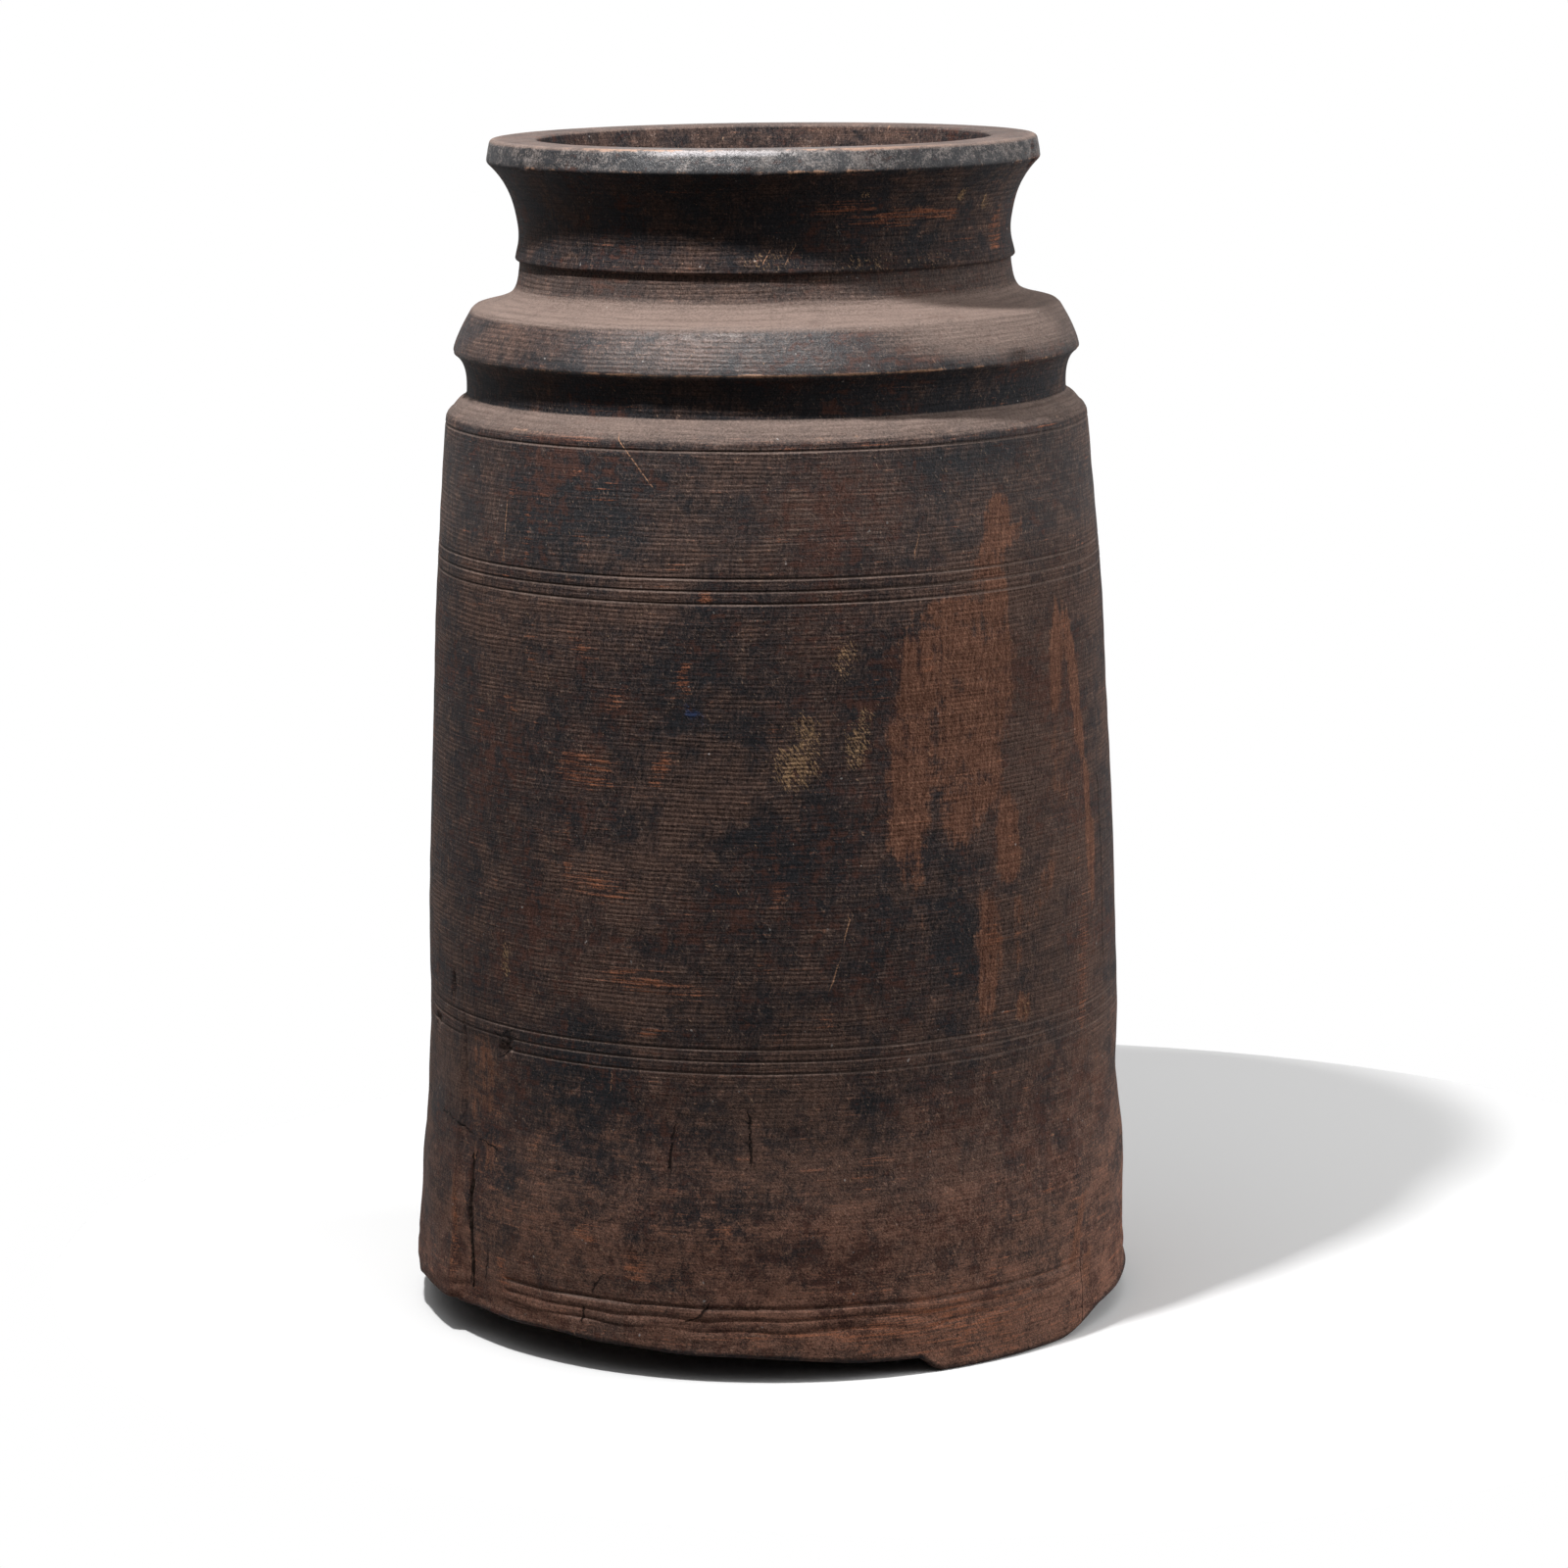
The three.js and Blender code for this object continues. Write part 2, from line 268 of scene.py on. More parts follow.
def spot(centre_angle, centre_level, half_width, half_height, tilt=0.0, softness=0.5):
    """A soft ellipse on the wall, 1 inside and 0 outside. Its sizes are millimetres along the wall,
    and tilt leans its top towards larger angles. softness is the share of the radius that fades."""
    right = np.radians(nearby(centre_angle)) * side_radius
    up = level - centre_level
    lean = np.radians(tilt)
    along = right * np.sin(lean) + up * np.cos(lean)
    beside = right * np.cos(lean) - up * np.sin(lean)
    distance = np.hypot(beside / half_width, along / half_height)
    return smooth((1.0 + softness / 2 - distance) / softness)


def ripples(count, fastest_turn, fastest_level, seed):
    """Uneven waves about 1 high: a sum of cosines over the root of half their count. Each has whole
    turns per round, so that it joins at the back. fastest_level is in waves per millimetre."""
    draw = np.random.default_rng(seed)
    total = np.zeros_like(angle)
    for _ in range(count):
        turn = draw.integers(-fastest_turn, fastest_turn + 1)
        climb = draw.uniform(-fastest_level, fastest_level)
        total += np.cos(np.radians(angle) * turn + 2 * np.pi * climb * level + draw.uniform(0, 2 * np.pi))
    return total / np.sqrt(count / 2)


# %% [markdown]
# ## What the lathe did not cut
# The log was not quite thick enough to come out round. Low on the left a lobe of the trunk stands
# proud and was dressed by hand, with a narrow pared strip beside it, and low on the right is a flat.
# Tool ridges and grooves stop there.

# %% Hand-dressed zones
def zone(first, last, ramp, top, fade):
    """Share of a zone: 1 between two angles, with a ramp at both ends, and fading out below top."""
    width = (last - first) / 2
    inside = width - np.abs(nearby(first + width))
    return smooth(inside / ramp) * (1 - smooth((level - top + fade) / fade))


lobe = zone(-112.0, -60.5, ramp=2.2, top=122.0, fade=30.0)
flat = zone(56.5, 106.0, ramp=3.0, top=116.0, fade=40.0)
strip = zone(-62.5, -47.3, ramp=1.0, top=121.0, fade=3.0)
turned = (1 - np.maximum(np.maximum(lobe, strip), 0.8 * flat)) * on_outside
print("zones left out of the turning:", int((turned[on_outside] < 0.5).sum()), "points")

# %% [markdown]
# ## Feet and the worn lower edge
# Between three low feet the wall's lower edge stays clear of the floor and is worn wavy.
# Both come from moving the rows near the lower edge: down to the floor at a foot, and a little up or
# down between. A foot is steep on one side and runs out slowly on the other, as the hatchet left it.

# %% How far the lower edge is moved
foot_angles = [39.0, 147.0, -117.0]
foot_half_span = 12.5
steep_flank = 4.0
easy_flank = 13.0
edge_wave = 3.9
edge_wave_angle = -50.0

foot = np.zeros_like(angle)
for centre in foot_angles:
    away = nearby(centre)
    flank = np.where(away > 0, easy_flank, steep_flank)
    foot = np.maximum(foot, smooth((foot_half_span + flank - np.abs(away)) / flank))
wave = edge_wave * np.cos(np.radians(2 * (angle - edge_wave_angle)))
wave += 0.3 * ripples(12, 24, 0.0, seed=12)
at_edge = smooth((foot_height + base_chamfer + 0.3 - level) / 0.2)
near_edge = smooth((foot_height + 14.0 - level) / 11.5)
lift = (1 - foot) * wave * near_edge - foot * foot_height * at_edge
lowest, highest = foot_height + lift.min(), foot_height + wave.max()
print("lower edge from", round(float(lowest), 1), "to", round(float(highest), 1), "mm")

# %% [markdown]
# ## Nicks, dents and grooves
# Edges that stand out get knocked. Each nick is a soft ellipse that moves the wall inwards.
# A few large ones are listed one by one and the small ones are drawn at random along the edges.
# All the relief is one sum: slow waves of the wood, the dressed zones, the nicks and the grooves.

# %% Nicks: angle, height, half width, half height and depth of each
nicks = [
    (75.0, rim_level + 1.0, 3.0, 4.0, 2.6), (-64.8, 134.0, 1.6, 3.6, 2.2), (-74.0, 116.5, 4.0, 1.4, 1.6),
    (-47.6, 119.0, 1.6, 3.2, 1.0), (-49.0, 116.0, 2.6, 1.6, 1.0), (-60.9, 101.0, 0.9, 22.0, 1.2),
    (51.0, ring_edge + 1.0, 6.0, 2.4, 1.5), (57.6, 30.0, 0.9, 9.0, 0.9),
]
draw = np.random.default_rng(11)
knocked_edges = [
    (rim_level, 46, 2.6), (lip_level - 1.0, 40, 1.8), (ring_edge, 60, 2.2), (body_top, 40, 1.8),
    (ring_top, 16, 1.5), (foot_height + 3.0, 44, 3.6), (lower_band + groove_pitch + 2, 40, 3.0),
]
for edge_level, count, size in knocked_edges:
    for _ in range(count):
        wide = size * draw.uniform(0.5, 1.9)
        nicks.append((draw.uniform(-180, 180), edge_level + draw.normal(0, 0.5), wide,
                      size * draw.uniform(0.3, 0.8), draw.uniform(0.12, 0.45)))
print(len(nicks), "nicks")

# %% Relief of the outside, in millimetres
upper_body_proud = 0.6
lobe_proud = 0.5
lobe_foot_proud = 2.8
flat_depth = 1.4
strip_depth = 0.35

relief = 0.22 * ripples(14, 5, 0.012, seed=3) + 0.05 * ripples(30, 22, 0.08, seed=4)
relief += upper_body_proud * smooth((level - 240.0) / 40.0) * smooth((body_top + 2.0 - level) / 4.0)
lobe_bulge = lobe_proud + lobe_foot_proud * smooth((50.0 - level) / 35.0)
relief += lobe * lobe_bulge - flat_depth * flat - strip_depth * strip
relief += (lobe + flat) * 0.3 * ripples(16, 26, 0.03, seed=5)
for centre, height, wide, tall, depth in nicks:
    relief -= depth * spot(centre, height, wide, tall, softness=0.9)

# Near the floor the wall is rougher, and the grooves wander and are partly worn away
low = smooth((34.0 - level) / 20.0)
relief += low * 0.22 * ripples(26, 30, 0.12, seed=6)
wander = 0.8 * ripples(12, 32, 0.0, seed=9) * low
worn = 1 - low * (0.4 + 0.4 * ripples(10, 26, 0.02, seed=10))
for groove in grooves:
    relief -= groove_cut(level + wander, *groove) * turned * np.clip(worn, 0.15, 1.0)
print("relief from", round(float(relief.min()), 2), "to", round(float(relief.max()), 2), "mm")

# %% [markdown]
# ## The filled split
# Drying wood splits along the grain. This split, low on the left, was packed with pitch, which has
# sunk, hardened and pitted. The wall gets a leaf-shaped slot, and the filling is its own piece.

# %% The slot
split_angle = -57.0
split_level = foot_height + 38.0
split_length = 54.0
split_width = 2.4
split_depth = 7.0


def leaf_half_width(t):
    """Half the width of the split at t, which runs from 0 at its foot to 1 at its tip."""
    return split_width / 2 * np.sin(np.pi * np.clip(t, 0.0, 1.0)) ** 0.7


def leaf_crook(t):
    """How far the split wanders sideways at t: one and a half slow waves and small quick ones."""
    return 0.5 * np.sin(3 * np.pi * t) + 0.25 * np.sin(31.0 * t) * np.sin(13.0 * t)


leaf_t = (level - split_level) / split_length + 0.5
from_middle = np.radians(nearby(split_angle)) * base_radius - leaf_crook(leaf_t)
in_leaf = smooth((leaf_half_width(leaf_t) - np.abs(from_middle)) / 0.8) * (leaf_t > 0) * (leaf_t < 1)
relief -= (split_depth - 1.0) * in_leaf * on_outside


# %% [markdown]
# ## From arrays to a mesh
# A grid of points becomes a mesh in one go: each face joins a point to the next in its row and the
# two above. The last column joins the first. The outline either joins its own start or is capped.

# %% Turn a grid of points into a mesh
def grid_mesh(name, points, loop):
    """Mesh of a grid of points, in millimetres, rows by columns. Columns always close on themselves.
    With loop the last row joins the first; without it one flat face closes each end."""
    rows, columns = points.shape[:2]
    number = np.arange(rows * columns).reshape(rows, columns)
    beside = np.roll(number, -1, axis=1)
    above, above_beside = np.roll(number, -1, axis=0), np.roll(beside, -1, axis=0)
    faces = np.stack([number, beside, above_beside, above], axis=2)
    faces = (faces if loop else faces[:-1]).reshape(-1, 4).tolist()
    if not loop:
        faces += [number[0][::-1].tolist(), number[-1].tolist()]
    mesh = bpy.data.meshes.new(name)
    mesh.from_pydata((points.reshape(-1, 3) * METRE).tolist(), [], faces)
    mesh.polygons.foreach_set("use_smooth", np.ones(len(mesh.polygons), bool))
    piece = bpy.data.objects.new(name, mesh)
    bpy.context.scene.collection.objects.link(piece)
    print(name, len(mesh.vertices), "vertices,", len(faces), "faces")
    return piece


def round_points(radius, height, turn):
    """Points at a radius and height, at angles in degrees counted from -Y towards +X."""
    turn = np.radians(turn)
    return np.stack([radius * np.sin(turn), -radius * np.cos(turn), height], axis=2)


def paint(piece, name, values):
    """Keeps one number for each point of the mesh, which the finish reads by name."""
    layer = piece.data.attributes.new(name, "FLOAT", "POINT")
    layer.data.foreach_set("value", np.asarray(values, np.float32).ravel())


# %% The wall, with gouge marks on the inside
gouge_pitch = 9.0
gouged = 0.3 * ripples(24, 24, 0.1, seed=7)
gouged += 0.25 * np.sin(2 * np.pi * level / gouge_pitch + ripples(6, 4, 0.01, seed=8))
inside_wall = smooth((rim_level - 10.0 - level) / 30.0) * smooth((level - step_level - 3.0) / 20.0)
wall_radius = row_radius[:, None] + np.where(on_outside, relief, gouged * inside_wall)
wall_level = level + lift
pot_wall = grid_mesh("pot_wall", round_points(wall_radius, wall_level, angle), loop=True)
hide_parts("pot_body")
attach(pot_wall, "root")

# %% [markdown]
# ## Wear, with some painted highlight and shade, as painted layers
# Where hands rub, the black comes off and brown wood shows. These places are painted on the points
# of the mesh as soft ellipses: an angle, a height, half a width, half a height, a lean and a strength.
# The finish breaks their edges up with noise, so they can stay this simple.
# The layers are bare wood, rust-red flecks, pale crust, dust, warmer or colder skin, the earthy base,
# worn edges, grey film, polish, one blue speck, tool ridges and the inside. In the fine grooves the dust
# is also a painted highlight, under the rim and in the cove the colder skin is painted shade, and at the
# front of the lip and the ring the film is a painted highlight.

# %% Bare wood
bare_spots = [
    (42.0, 312, 8, 13, 16, 1.2), (46.4, 309, 4, 5, 40, 0.9), (39.6, 296, 8, 12, 0, 1.0),
    (32.5, 281, 19, 9, 4, 0.95), (29.5, 262, 22, 20, 0, 1.0), (38.5, 258, 13, 30, 0, 1.0),
    (40.5, 286, 7, 14, 0, 1.0), (22.8, 226, 9.5, 46, 3, 1.0), (31.5, 222, 10, 30, -4, 0.85),
    (37.0, 226, 10, 20, 0, 0.9), (41.3, 196, 6.5, 19, 0, 1.15), (36.6, 154, 6, 28, 3, 0.95),
    (43.0, 162, 4, 20, 0, 0.6), (44.0, 133, 4.5, 7, 0, 1.0), (55.6, 260, 4.6, 22, 6, 1.25),
    (61.6, 245, 4.6, 32, -9, 1.35), (65.0, 190, 4, 30, -3, 1.15), (49.5, 176, 5, 16, 32, 0.65),
    (55.0, 218, 8, 24, 0, 0.5), (-54.6, 91, 12, 30, 0, 0.6), (-62.6, 42, 2, 26, 0, 0.7),
    (56.6, 41, 4.0, 18, 18, 1.0), (60.0, 24, 5, 10, 0, 0.7), (115, 200, 20, 60, 4, 0.8),
    (140, 270, 12, 22, -10, 0.9), (-140, 180, 18, 48, 6, 0.8), (-160, 90, 24, 20, 0, 0.6),
    (170, 130, 10, 34, -5, 0.8), (-100, 280, 9, 26, 8, 0.7), (-112, 120, 14, 40, 0, 0.6),
    (100, 60, 22, 22, 0, 0.6),
]
print(len(bare_spots), "places of bare wood")

# %% Rust-red flecks, some listed one by one and the small ones drawn at random
rust_spots = [
    (-48.5, 325, 4, 2, 0, 1.0), (-44.5, 311, 1.6, 17, 0, 0.6), (-34.5, 335, 3, 2.5, 0, 1.0),
    (-29, 326, 9, 2, 0, 0.8), (-42.5, 326, 8, 2, 0, 0.8), (-15.5, 303, 4, 2, 0, 0.8),
    (-14, 262, 2.5, 8, 0, 0.8), (-18, 228, 4, 7, 35, 1.0), (-31, 227, 15, 8, 0, 0.8),
    (-26, 204, 27, 1.1, 0, 1.0), (-43, 265, 3, 12, 0, 0.6), (-29, 184, 19, 6, 0, 0.7),
    (-34.5, 194, 2.2, 17, 0, 0.7), (-20, 129, 8, 1.5, 0, 1.0), (-19, 149, 25, 4, 8, 0.7),
    (1, 183, 4, 6, 0, 0.7), (-58.5, 281, 6, 1.6, 0, 0.7), (-10.5, 291, 4, 3, 0, 1.0),
    (35, 425, 24, 3.2, 0, 0.85), (18, 428, 20, 3.0, 0, 0.8), (26, 421.5, 26, 1.2, 0, 0.9),
    (46, 424, 7, 2.6, 0, 1.0), (66, 416, 9, 9, 0, 0.9), (50, 414, 14, 1.4, 0, 0.8),
    (30, 20, 34, 10, 0, 0.45), (-62, 40, 1.5, 22, 0, 0.6), (61.4, 142, 4, 32, 2, 0.75),
    (9, 345, 34, 1.5, 0, 0.7), (-38, 346.5, 22, 1.6, 0, 0.9), (-10, 347, 30, 1.2, 0, 0.5),
    (120, 240, 14, 16, 20, 0.8), (-130, 230, 20, 5, 0, 0.8), (160, 180, 12, 14, 0, 0.7),
    (58, 346, 10, 1.2, 0, 0.9), (20, 18, 60, 3, 0, 0.5),
]
small_flecks = 110
share_near_base = 0.45
draw = np.random.default_rng(31)
for _ in range(small_flecks):
    lowest, highest = (12, 110) if draw.uniform() < share_near_base else (110, 335)
    place = (draw.uniform(-180, 180), draw.uniform(lowest, highest))
    half_sizes = (draw.uniform(1.5, 5.0), draw.uniform(1.5, 8.0))
    rust_spots.append(place + half_sizes + (draw.uniform(-30, 40), draw.uniform(0.3, 0.75)))
print(len(rust_spots), "flecks")

# %% Pale crust, dust, warm and cold places, some of them painted shade, and worn stretches of the edges
crust_spots = [
    (4.0, 230, 9, 9, -12, 1.0), (6.0, 242, 5, 8, -30, 0.9), (14.0, 236, 5, 9, 8, 0.9),
    (15.4, 246, 3.4, 5, 0, 0.8), (12.4, 268, 5, 8, 20, 0.7), (-48.4, 150, 2.6, 8, 0, 0.8),
    (48.3, 431, 2.2, 3.4, 0, 1.3), (58.5, 426, 2.2, 1.8, 0, 1.3), (58.0, 429, 1.2, 1.4, 0, 1.3),
    (22.0, 433, 2.4, 1.4, 0, 1.0), (44.0, 132, 4, 6, 0, 0.5), (1, 409.5, 16, 3.6, 0, 0.45),
    (22, 407.5, 20, 3.4, 0, 0.45), (40, 408, 16, 3.4, 0, 0.4), (-150, 240, 8, 12, 0, 0.8),
    (130, 150, 6, 9, 20, 0.8),
]
dust_spots = [
    (46, ring_edge + 10, 74, 8, 0, 0.5), (0, ring_top + 2, 460, 3, 0, 0.3),
    (0, neck_foot - 1, 460, 5, 0, 0.25),
]
warm_spots = [
    (12, 322, 36, 17, 0, 0.6), (45, 235, 34, 70, 0, 0.55), (-40, 150, 44, 14, 0, 0.35),
    (30, 62, 54, 34, 0, 0.5), (-42, 34, 46, 24, 0, 0.55), (22, 16, 150, 14, 0, 0.5),
    (-28, 178, 34, 20, 0, 0.35), (8, 283, 12, 20, 0, 0.4), (64, 110, 18, 70, 0, 0.6),
    (-58, 280, 20, 60, 0, 0.25), (130, 120, 60, 60, 0, 0.5), (-140, 250, 70, 50, 0, 0.5),
    (-14, 258, 30, 26, 0, -0.35), (2, 200, 22, 22, 0, -0.45), (30, 170, 14, 34, 0, -0.5),
    (-6, 74, 20, 22, 0, -0.3), (-30, 96, 22, 26, 0, -0.6), (14, 92, 14, 16, 0, -0.5),
    (-34, 112, 22, 18, 0, -0.4), (-36, 316, 34, 20, 0, -0.6), (-50, 60, 10, 24, 0, -0.5),
    (36, 340, 24, 8, 0, -0.4), (150, 250, 60, 40, 0, -0.5), (-110, 190, 50, 50, 0, -0.4),
    # In the next row the bands under the rim and at the cove under the ring's edge are painted shade; the
    # band at the rim is the rim's own blue-black.
    (0, 424, 460, 16, 0, -0.35), (0, 358, 460, 9, 0, -0.5), (0, 446, 460, 4, 0, -0.8),
    (-66, 270, 18, 76, 0, -0.35), (58, 205, 20, 84, 0, 0.4),
]
edge_spots = [
    (-30, lip_level, 24, 6, 0, 1.2), (24, lip_level, 26, 6, 0, 1.2), (-27, rim_level, 7, 5, 0, 1.2),
    (8, rim_level, 9, 5, 0, 1.0), (2, ring_edge, 105, 6, 0, 0.9), (-47, body_top, 14, 6, 0, 1.0),
    (52, body_top, 14, 6, 0, 1.0), (-15.7, foot_height + 1.0, 12, 5, 0, 1.6),
    (160, lip_level, 60, 6, 0, 0.8), (-140, ring_edge, 70, 6, 0, 0.8),
]
rubbed_edges = [
    (rim_level, 1.7, 0.8), (lip_level, 1.9, 0.85), (ring_edge + 0.2, 1.3, 0.9),
    (body_top + 0.6, 1.6, 0.7), (ring_top, 1.6, 0.45), (foot_height, 3.0, 0.7),
]
print(len(crust_spots), "crusts and", len(warm_spots), "warm or cold places")


# %% How the layers are worked out
def layer_of(spots, softness=0.7):
    """The strongest of all spots at each point of the wall."""
    total = np.zeros_like(angle)
    for centre, height, wide, tall, lean, strength in spots:
        total = np.maximum(total, strength * spot(centre, height, wide, tall, lean, softness))
    return total * on_outside


def edge_layer():
    """Wear along the edges that stand out: a strength on the edge that is gone at its reach.
    The places in edge_spots raise it by up to three fifths of their own strength."""
    total = np.zeros_like(angle)
    for edge_level, reach, strength in rubbed_edges:
        total = np.maximum(total, strength * smooth(1 - np.abs(level - edge_level) / reach))
    return total * (1 + 0.6 * layer_of(edge_spots, 1.0)) * on_outside


def band(lowest, highest, fade):
    """1 between two heights, with soft ends."""
    return smooth((level - lowest) / fade + 0.5) * smooth((highest - level) / fade + 0.5)


# %% Paint the wood and the skin, which are warmer and earthier towards the floor
low_wear = smooth((140.0 - level) / 60.0)
warm = sum(strength * spot(centre, height, wide, tall, lean, 1.3)
           for centre, height, wide, tall, lean, strength in warm_spots)
warm = warm + 0.25 * low_wear + 0.1 * smooth((330.0 - level) / 50.0) + 0.35 * smooth((46.0 - level) / 30.0)
earthy = 0.3 * low_wear + 0.35 * smooth((84.0 - level) / 30.0) + 0.16 * smooth((50.0 - level) / 34.0)
earthy -= 0.25 * lobe + 0.3 * spot(-38.0, 18.0, 66.0, 20.0, softness=1.0)
paint(pot_wall, "bare", layer_of(bare_spots))
paint(pot_wall, "rust", layer_of(rust_spots))
paint(pot_wall, "crust", layer_of(crust_spots, 1.0))
paint(pot_wall, "warm", warm * on_outside)
paint(pot_wall, "earthy", np.maximum(earthy, 0.0) * on_outside)
paint(pot_wall, "edge", edge_layer())
paint(pot_wall, "blue", spot(-12.4, 249.0, 5.0, 2.4, 40.0, 1.0) * on_outside)
paint(pot_wall, "inner", np.where(on_outside, 0.0, 1.0))
print("earthy base up to", round(float(level[earthy > 0].max()), 1), "mm")

# %% Paint grey film and polish, most on the front of the rim and the ring, and painted highlights on the front of the lip and the ring
front_rub_and_glint = smooth(1.5 - np.abs(nearby(-8.0)) / 26.0)
glint_middle = smooth(1.6 - np.abs(nearby(-10.0)) / 13.0)
on_rim = band(rim_level, lip_level + 4.0, 1.4) * (on_outside | (level > lip_level - 0.7))
# On the rim the film is a grey film. On the front of the ring it is a painted highlight.
film_and_glint = np.maximum(on_rim, 0.2 * front_rub_and_glint * band(ring_edge + 6.0, ring_top - 0.5, 4.0))
# Painted highlight: the next two lines push the film past 1 in strips at the front of the lip's bevel and
# of the ring's top, where its colour turns pale.
film_and_glint += 0.8 * glint_middle * band(lip_level - 2.2, lip_level - 0.2, 0.8) * on_outside
film_and_glint += 0.7 * glint_middle * band(ring_top - 3.6, ring_top - 0.3, 2.0) * on_outside
polish = np.maximum(0.65 * band(ring_edge, ring_top + 1.0, 3.0), on_rim) * (0.3 + 0.7 * front_rub_and_glint)
paint(pot_wall, "film_and_glint", np.where(on_outside, film_and_glint, 0.35 * band(395.0, 470.0, 30.0)))
paint(pot_wall, "polish", np.maximum(polish, 0.1 * band(302.0, body_top, 20.0) * on_outside))
print("polished points:", int((polish > 0.5).sum()))

# %% Paint dust, which the left half of the ring is wiped clean of and which in the fine grooves is also a painted highlight, and tool ridges
in_groove = sum(groove_cut(level, *groove) / groove[2] for groove in grooves if groove[1] == fine_groove[0])
# Pale in the fine grooves, most at the front: partly dust and partly a painted highlight of the light the
# grooves catch.
groove_dust_and_glint = 0.14 + 0.2 * smooth(1.0 - (np.abs(nearby(-5.0)) - 30.0) / 30.0)
groove_dust_and_glint = groove_dust_and_glint * smooth(in_groove * 1.5) * turned
wiped = band(ring_edge, ring_top - 0.8, 1.6) * smooth(1.0 - (nearby(0.0) - 5.0) / 40.0)
wiped = (wiped + 0.35 * band(body_top - 0.6, body_top + 1.6, 1.0)) * on_outside
wiped += 0.16 * band(body_top + 1.2, body_top + 9.0, 2.0) * on_outside
paint(pot_wall, "dust", np.maximum(layer_of(dust_spots, 1.2), groove_dust_and_glint) - wiped)
ridged = turned * (1 - in_leaf) * (1 - 0.8 * low_wear) * (1 - 0.8 * on_rim) * (1 - 0.5 * film_and_glint)
paint(pot_wall, "turned", ridged)
print("points with ridges:", int((ridged > 0.5).sum()))

# %% [markdown]
# ## Cracks and scratches
# A crack is far thinner than the faces of the mesh. But the distance from a crack changes evenly over
# the wall, so it can be painted on coarse points and still be read exactly in between. The finish then
# draws a line where that distance is small.

# %% Cracks and scratches: lines of angles and heights
cracks = [
    [(-84, 85.5), (-66, 83.0), (-58, 80.0), (-50.5, 77.0)],
    [(-61.2, 152), (-61.4, 131)],
    [(-72.5, 151.5), (-72.8, 136.5)],
    [(-28.0, 37.5), (-28.9, 34.5), (-29.8, 31.0)], [(-31.6, 24), (-32.0, 17)],
    [(-10.7, 29.0), (-11.6, 26.0), (-14.4, 22.8)],
    [(57.4, 34), (57.8, 22), (57.2, 9)],
    [(-52.4, 37), (-53.2, 26)], [(-56.0, 74), (-57.4, 58), (-56.8, 40), (-57.8, 22)],
    [(-46.6, 124.5), (-49.4, 121.0), (-51.0, 121.5)],
    [(-47.0, 118.0), (-49.6, 113.0)],
    [(-4.0, 101), (-3.8, 84)], [(-16.0, 96), (-16.8, 80)],
    [(70, 210), (70.5, 140)], [(130, 60), (129, 10)], [(-150, 70), (-151, 14)], [(175, 347), (174, 250)],
]
scratches = [
    [(-26.2, 347), (-23.0, 339), (-19.5, 330)],
    [(12.2, 173), (11.2, 166)], [(10.2, 157), (9.0, 148)],
    [(1.2, 413.5), (-0.6, 408.5)], [(6.4, 414.0), (4.6, 409.0)],
    [(-50.4, 322), (-50.8, 300)],
    [(25.8, 311), (24.6, 304)],
    [(-26.4, 113), (-27.0, 108)],
    [(100, 300), (92, 260)], [(-100, 240), (-108, 190)], [(150, 320), (160, 300)],
]
print(len(cracks), "cracks and", len(scratches), "scratches")


# %% Paint the distance from them
def distance_from(lines):
    """Signed distance in millimetres from the nearest of some lines, and a share that fades just
    past that line's ends. The distance aside of a stretch is the cross product of the way from its
    start and its direction, and past its ends it is the distance from the end."""
    nearest = np.full_like(angle, 40.0)
    share = np.zeros_like(angle)
    for line in lines:
        for (angle_a, level_a), (angle_b, level_b) in zip(line[:-1], line[1:]):
            right = np.radians(nearby(angle_a)) * side_radius
            step_right = np.radians(angle_b - angle_a) * side_radius
            step_up = level_b - level_a
            length = np.hypot(step_right, step_up)
            along = (right * step_right + (level - level_a) * step_up) / length
            beyond = np.maximum(np.maximum(-along, along - length), 0.0)
            aside = (right * step_up - (level - level_a) * step_right) / length
            closer = np.hypot(aside, beyond) < np.abs(nearest)
            signed = np.where(beyond > 0, np.copysign(np.hypot(aside, beyond), aside), aside)
            nearest = np.where(closer, signed, nearest)
            share = np.where(closer, smooth(1.0 - beyond / 2.0), share)
    return nearest, share * on_outside


for name, lines in [("crack", cracks), ("scratch", scratches)]:
    distance, share = distance_from(lines)
    paint(pot_wall, name + "_distance", distance)
    paint(pot_wall, name + "_share", share)
    print(name, "reaches", int((np.abs(distance) < 1.0).sum()), "points")

# %% [markdown]
# ## The board, its bead and the filling
# The board is a disc split from a plank and trimmed with an adze, so its underside is a little wavy.
# The bead of pitch in the corner was pressed in with a thumb, which its hollow, uneven face shows.
# The filling is a thin blade of pitch that follows the split's leaf shape and crook, with a pitted face.

# %% Bottom board
board_radius = bore_radius - seat_gap
board_turns = np.arange(0.0, 360.0, 3.0)
board_top = board_level + board_thickness
rings = np.linspace(1.0, board_radius - 2.0, 30)
board_rows = np.concatenate([
    np.stack([rings, np.full_like(rings, board_level)], axis=1),
    [[board_radius - 0.6, board_level + 0.5], [board_radius, board_level + 2.0]],
    [[board_radius, board_top - 1.5], [board_radius - 1.0, board_top]],
    np.stack([rings[::-1], np.full_like(rings, board_top)], axis=1),
])
turn, board_height = np.meshgrid(board_turns, board_rows[:, 1])
across_x = board_rows[:, :1] * np.sin(np.radians(turn))
across_y = -board_rows[:, :1] * np.cos(np.radians(turn))
adze = 0.45 * np.sin(across_x / 8.0 + np.sin(across_y / 19.0)) * np.cos(across_y / 13.0 + 0.6)
inset = smooth((board_radius - 4.0 - board_rows[:, :1]) / 8.0)
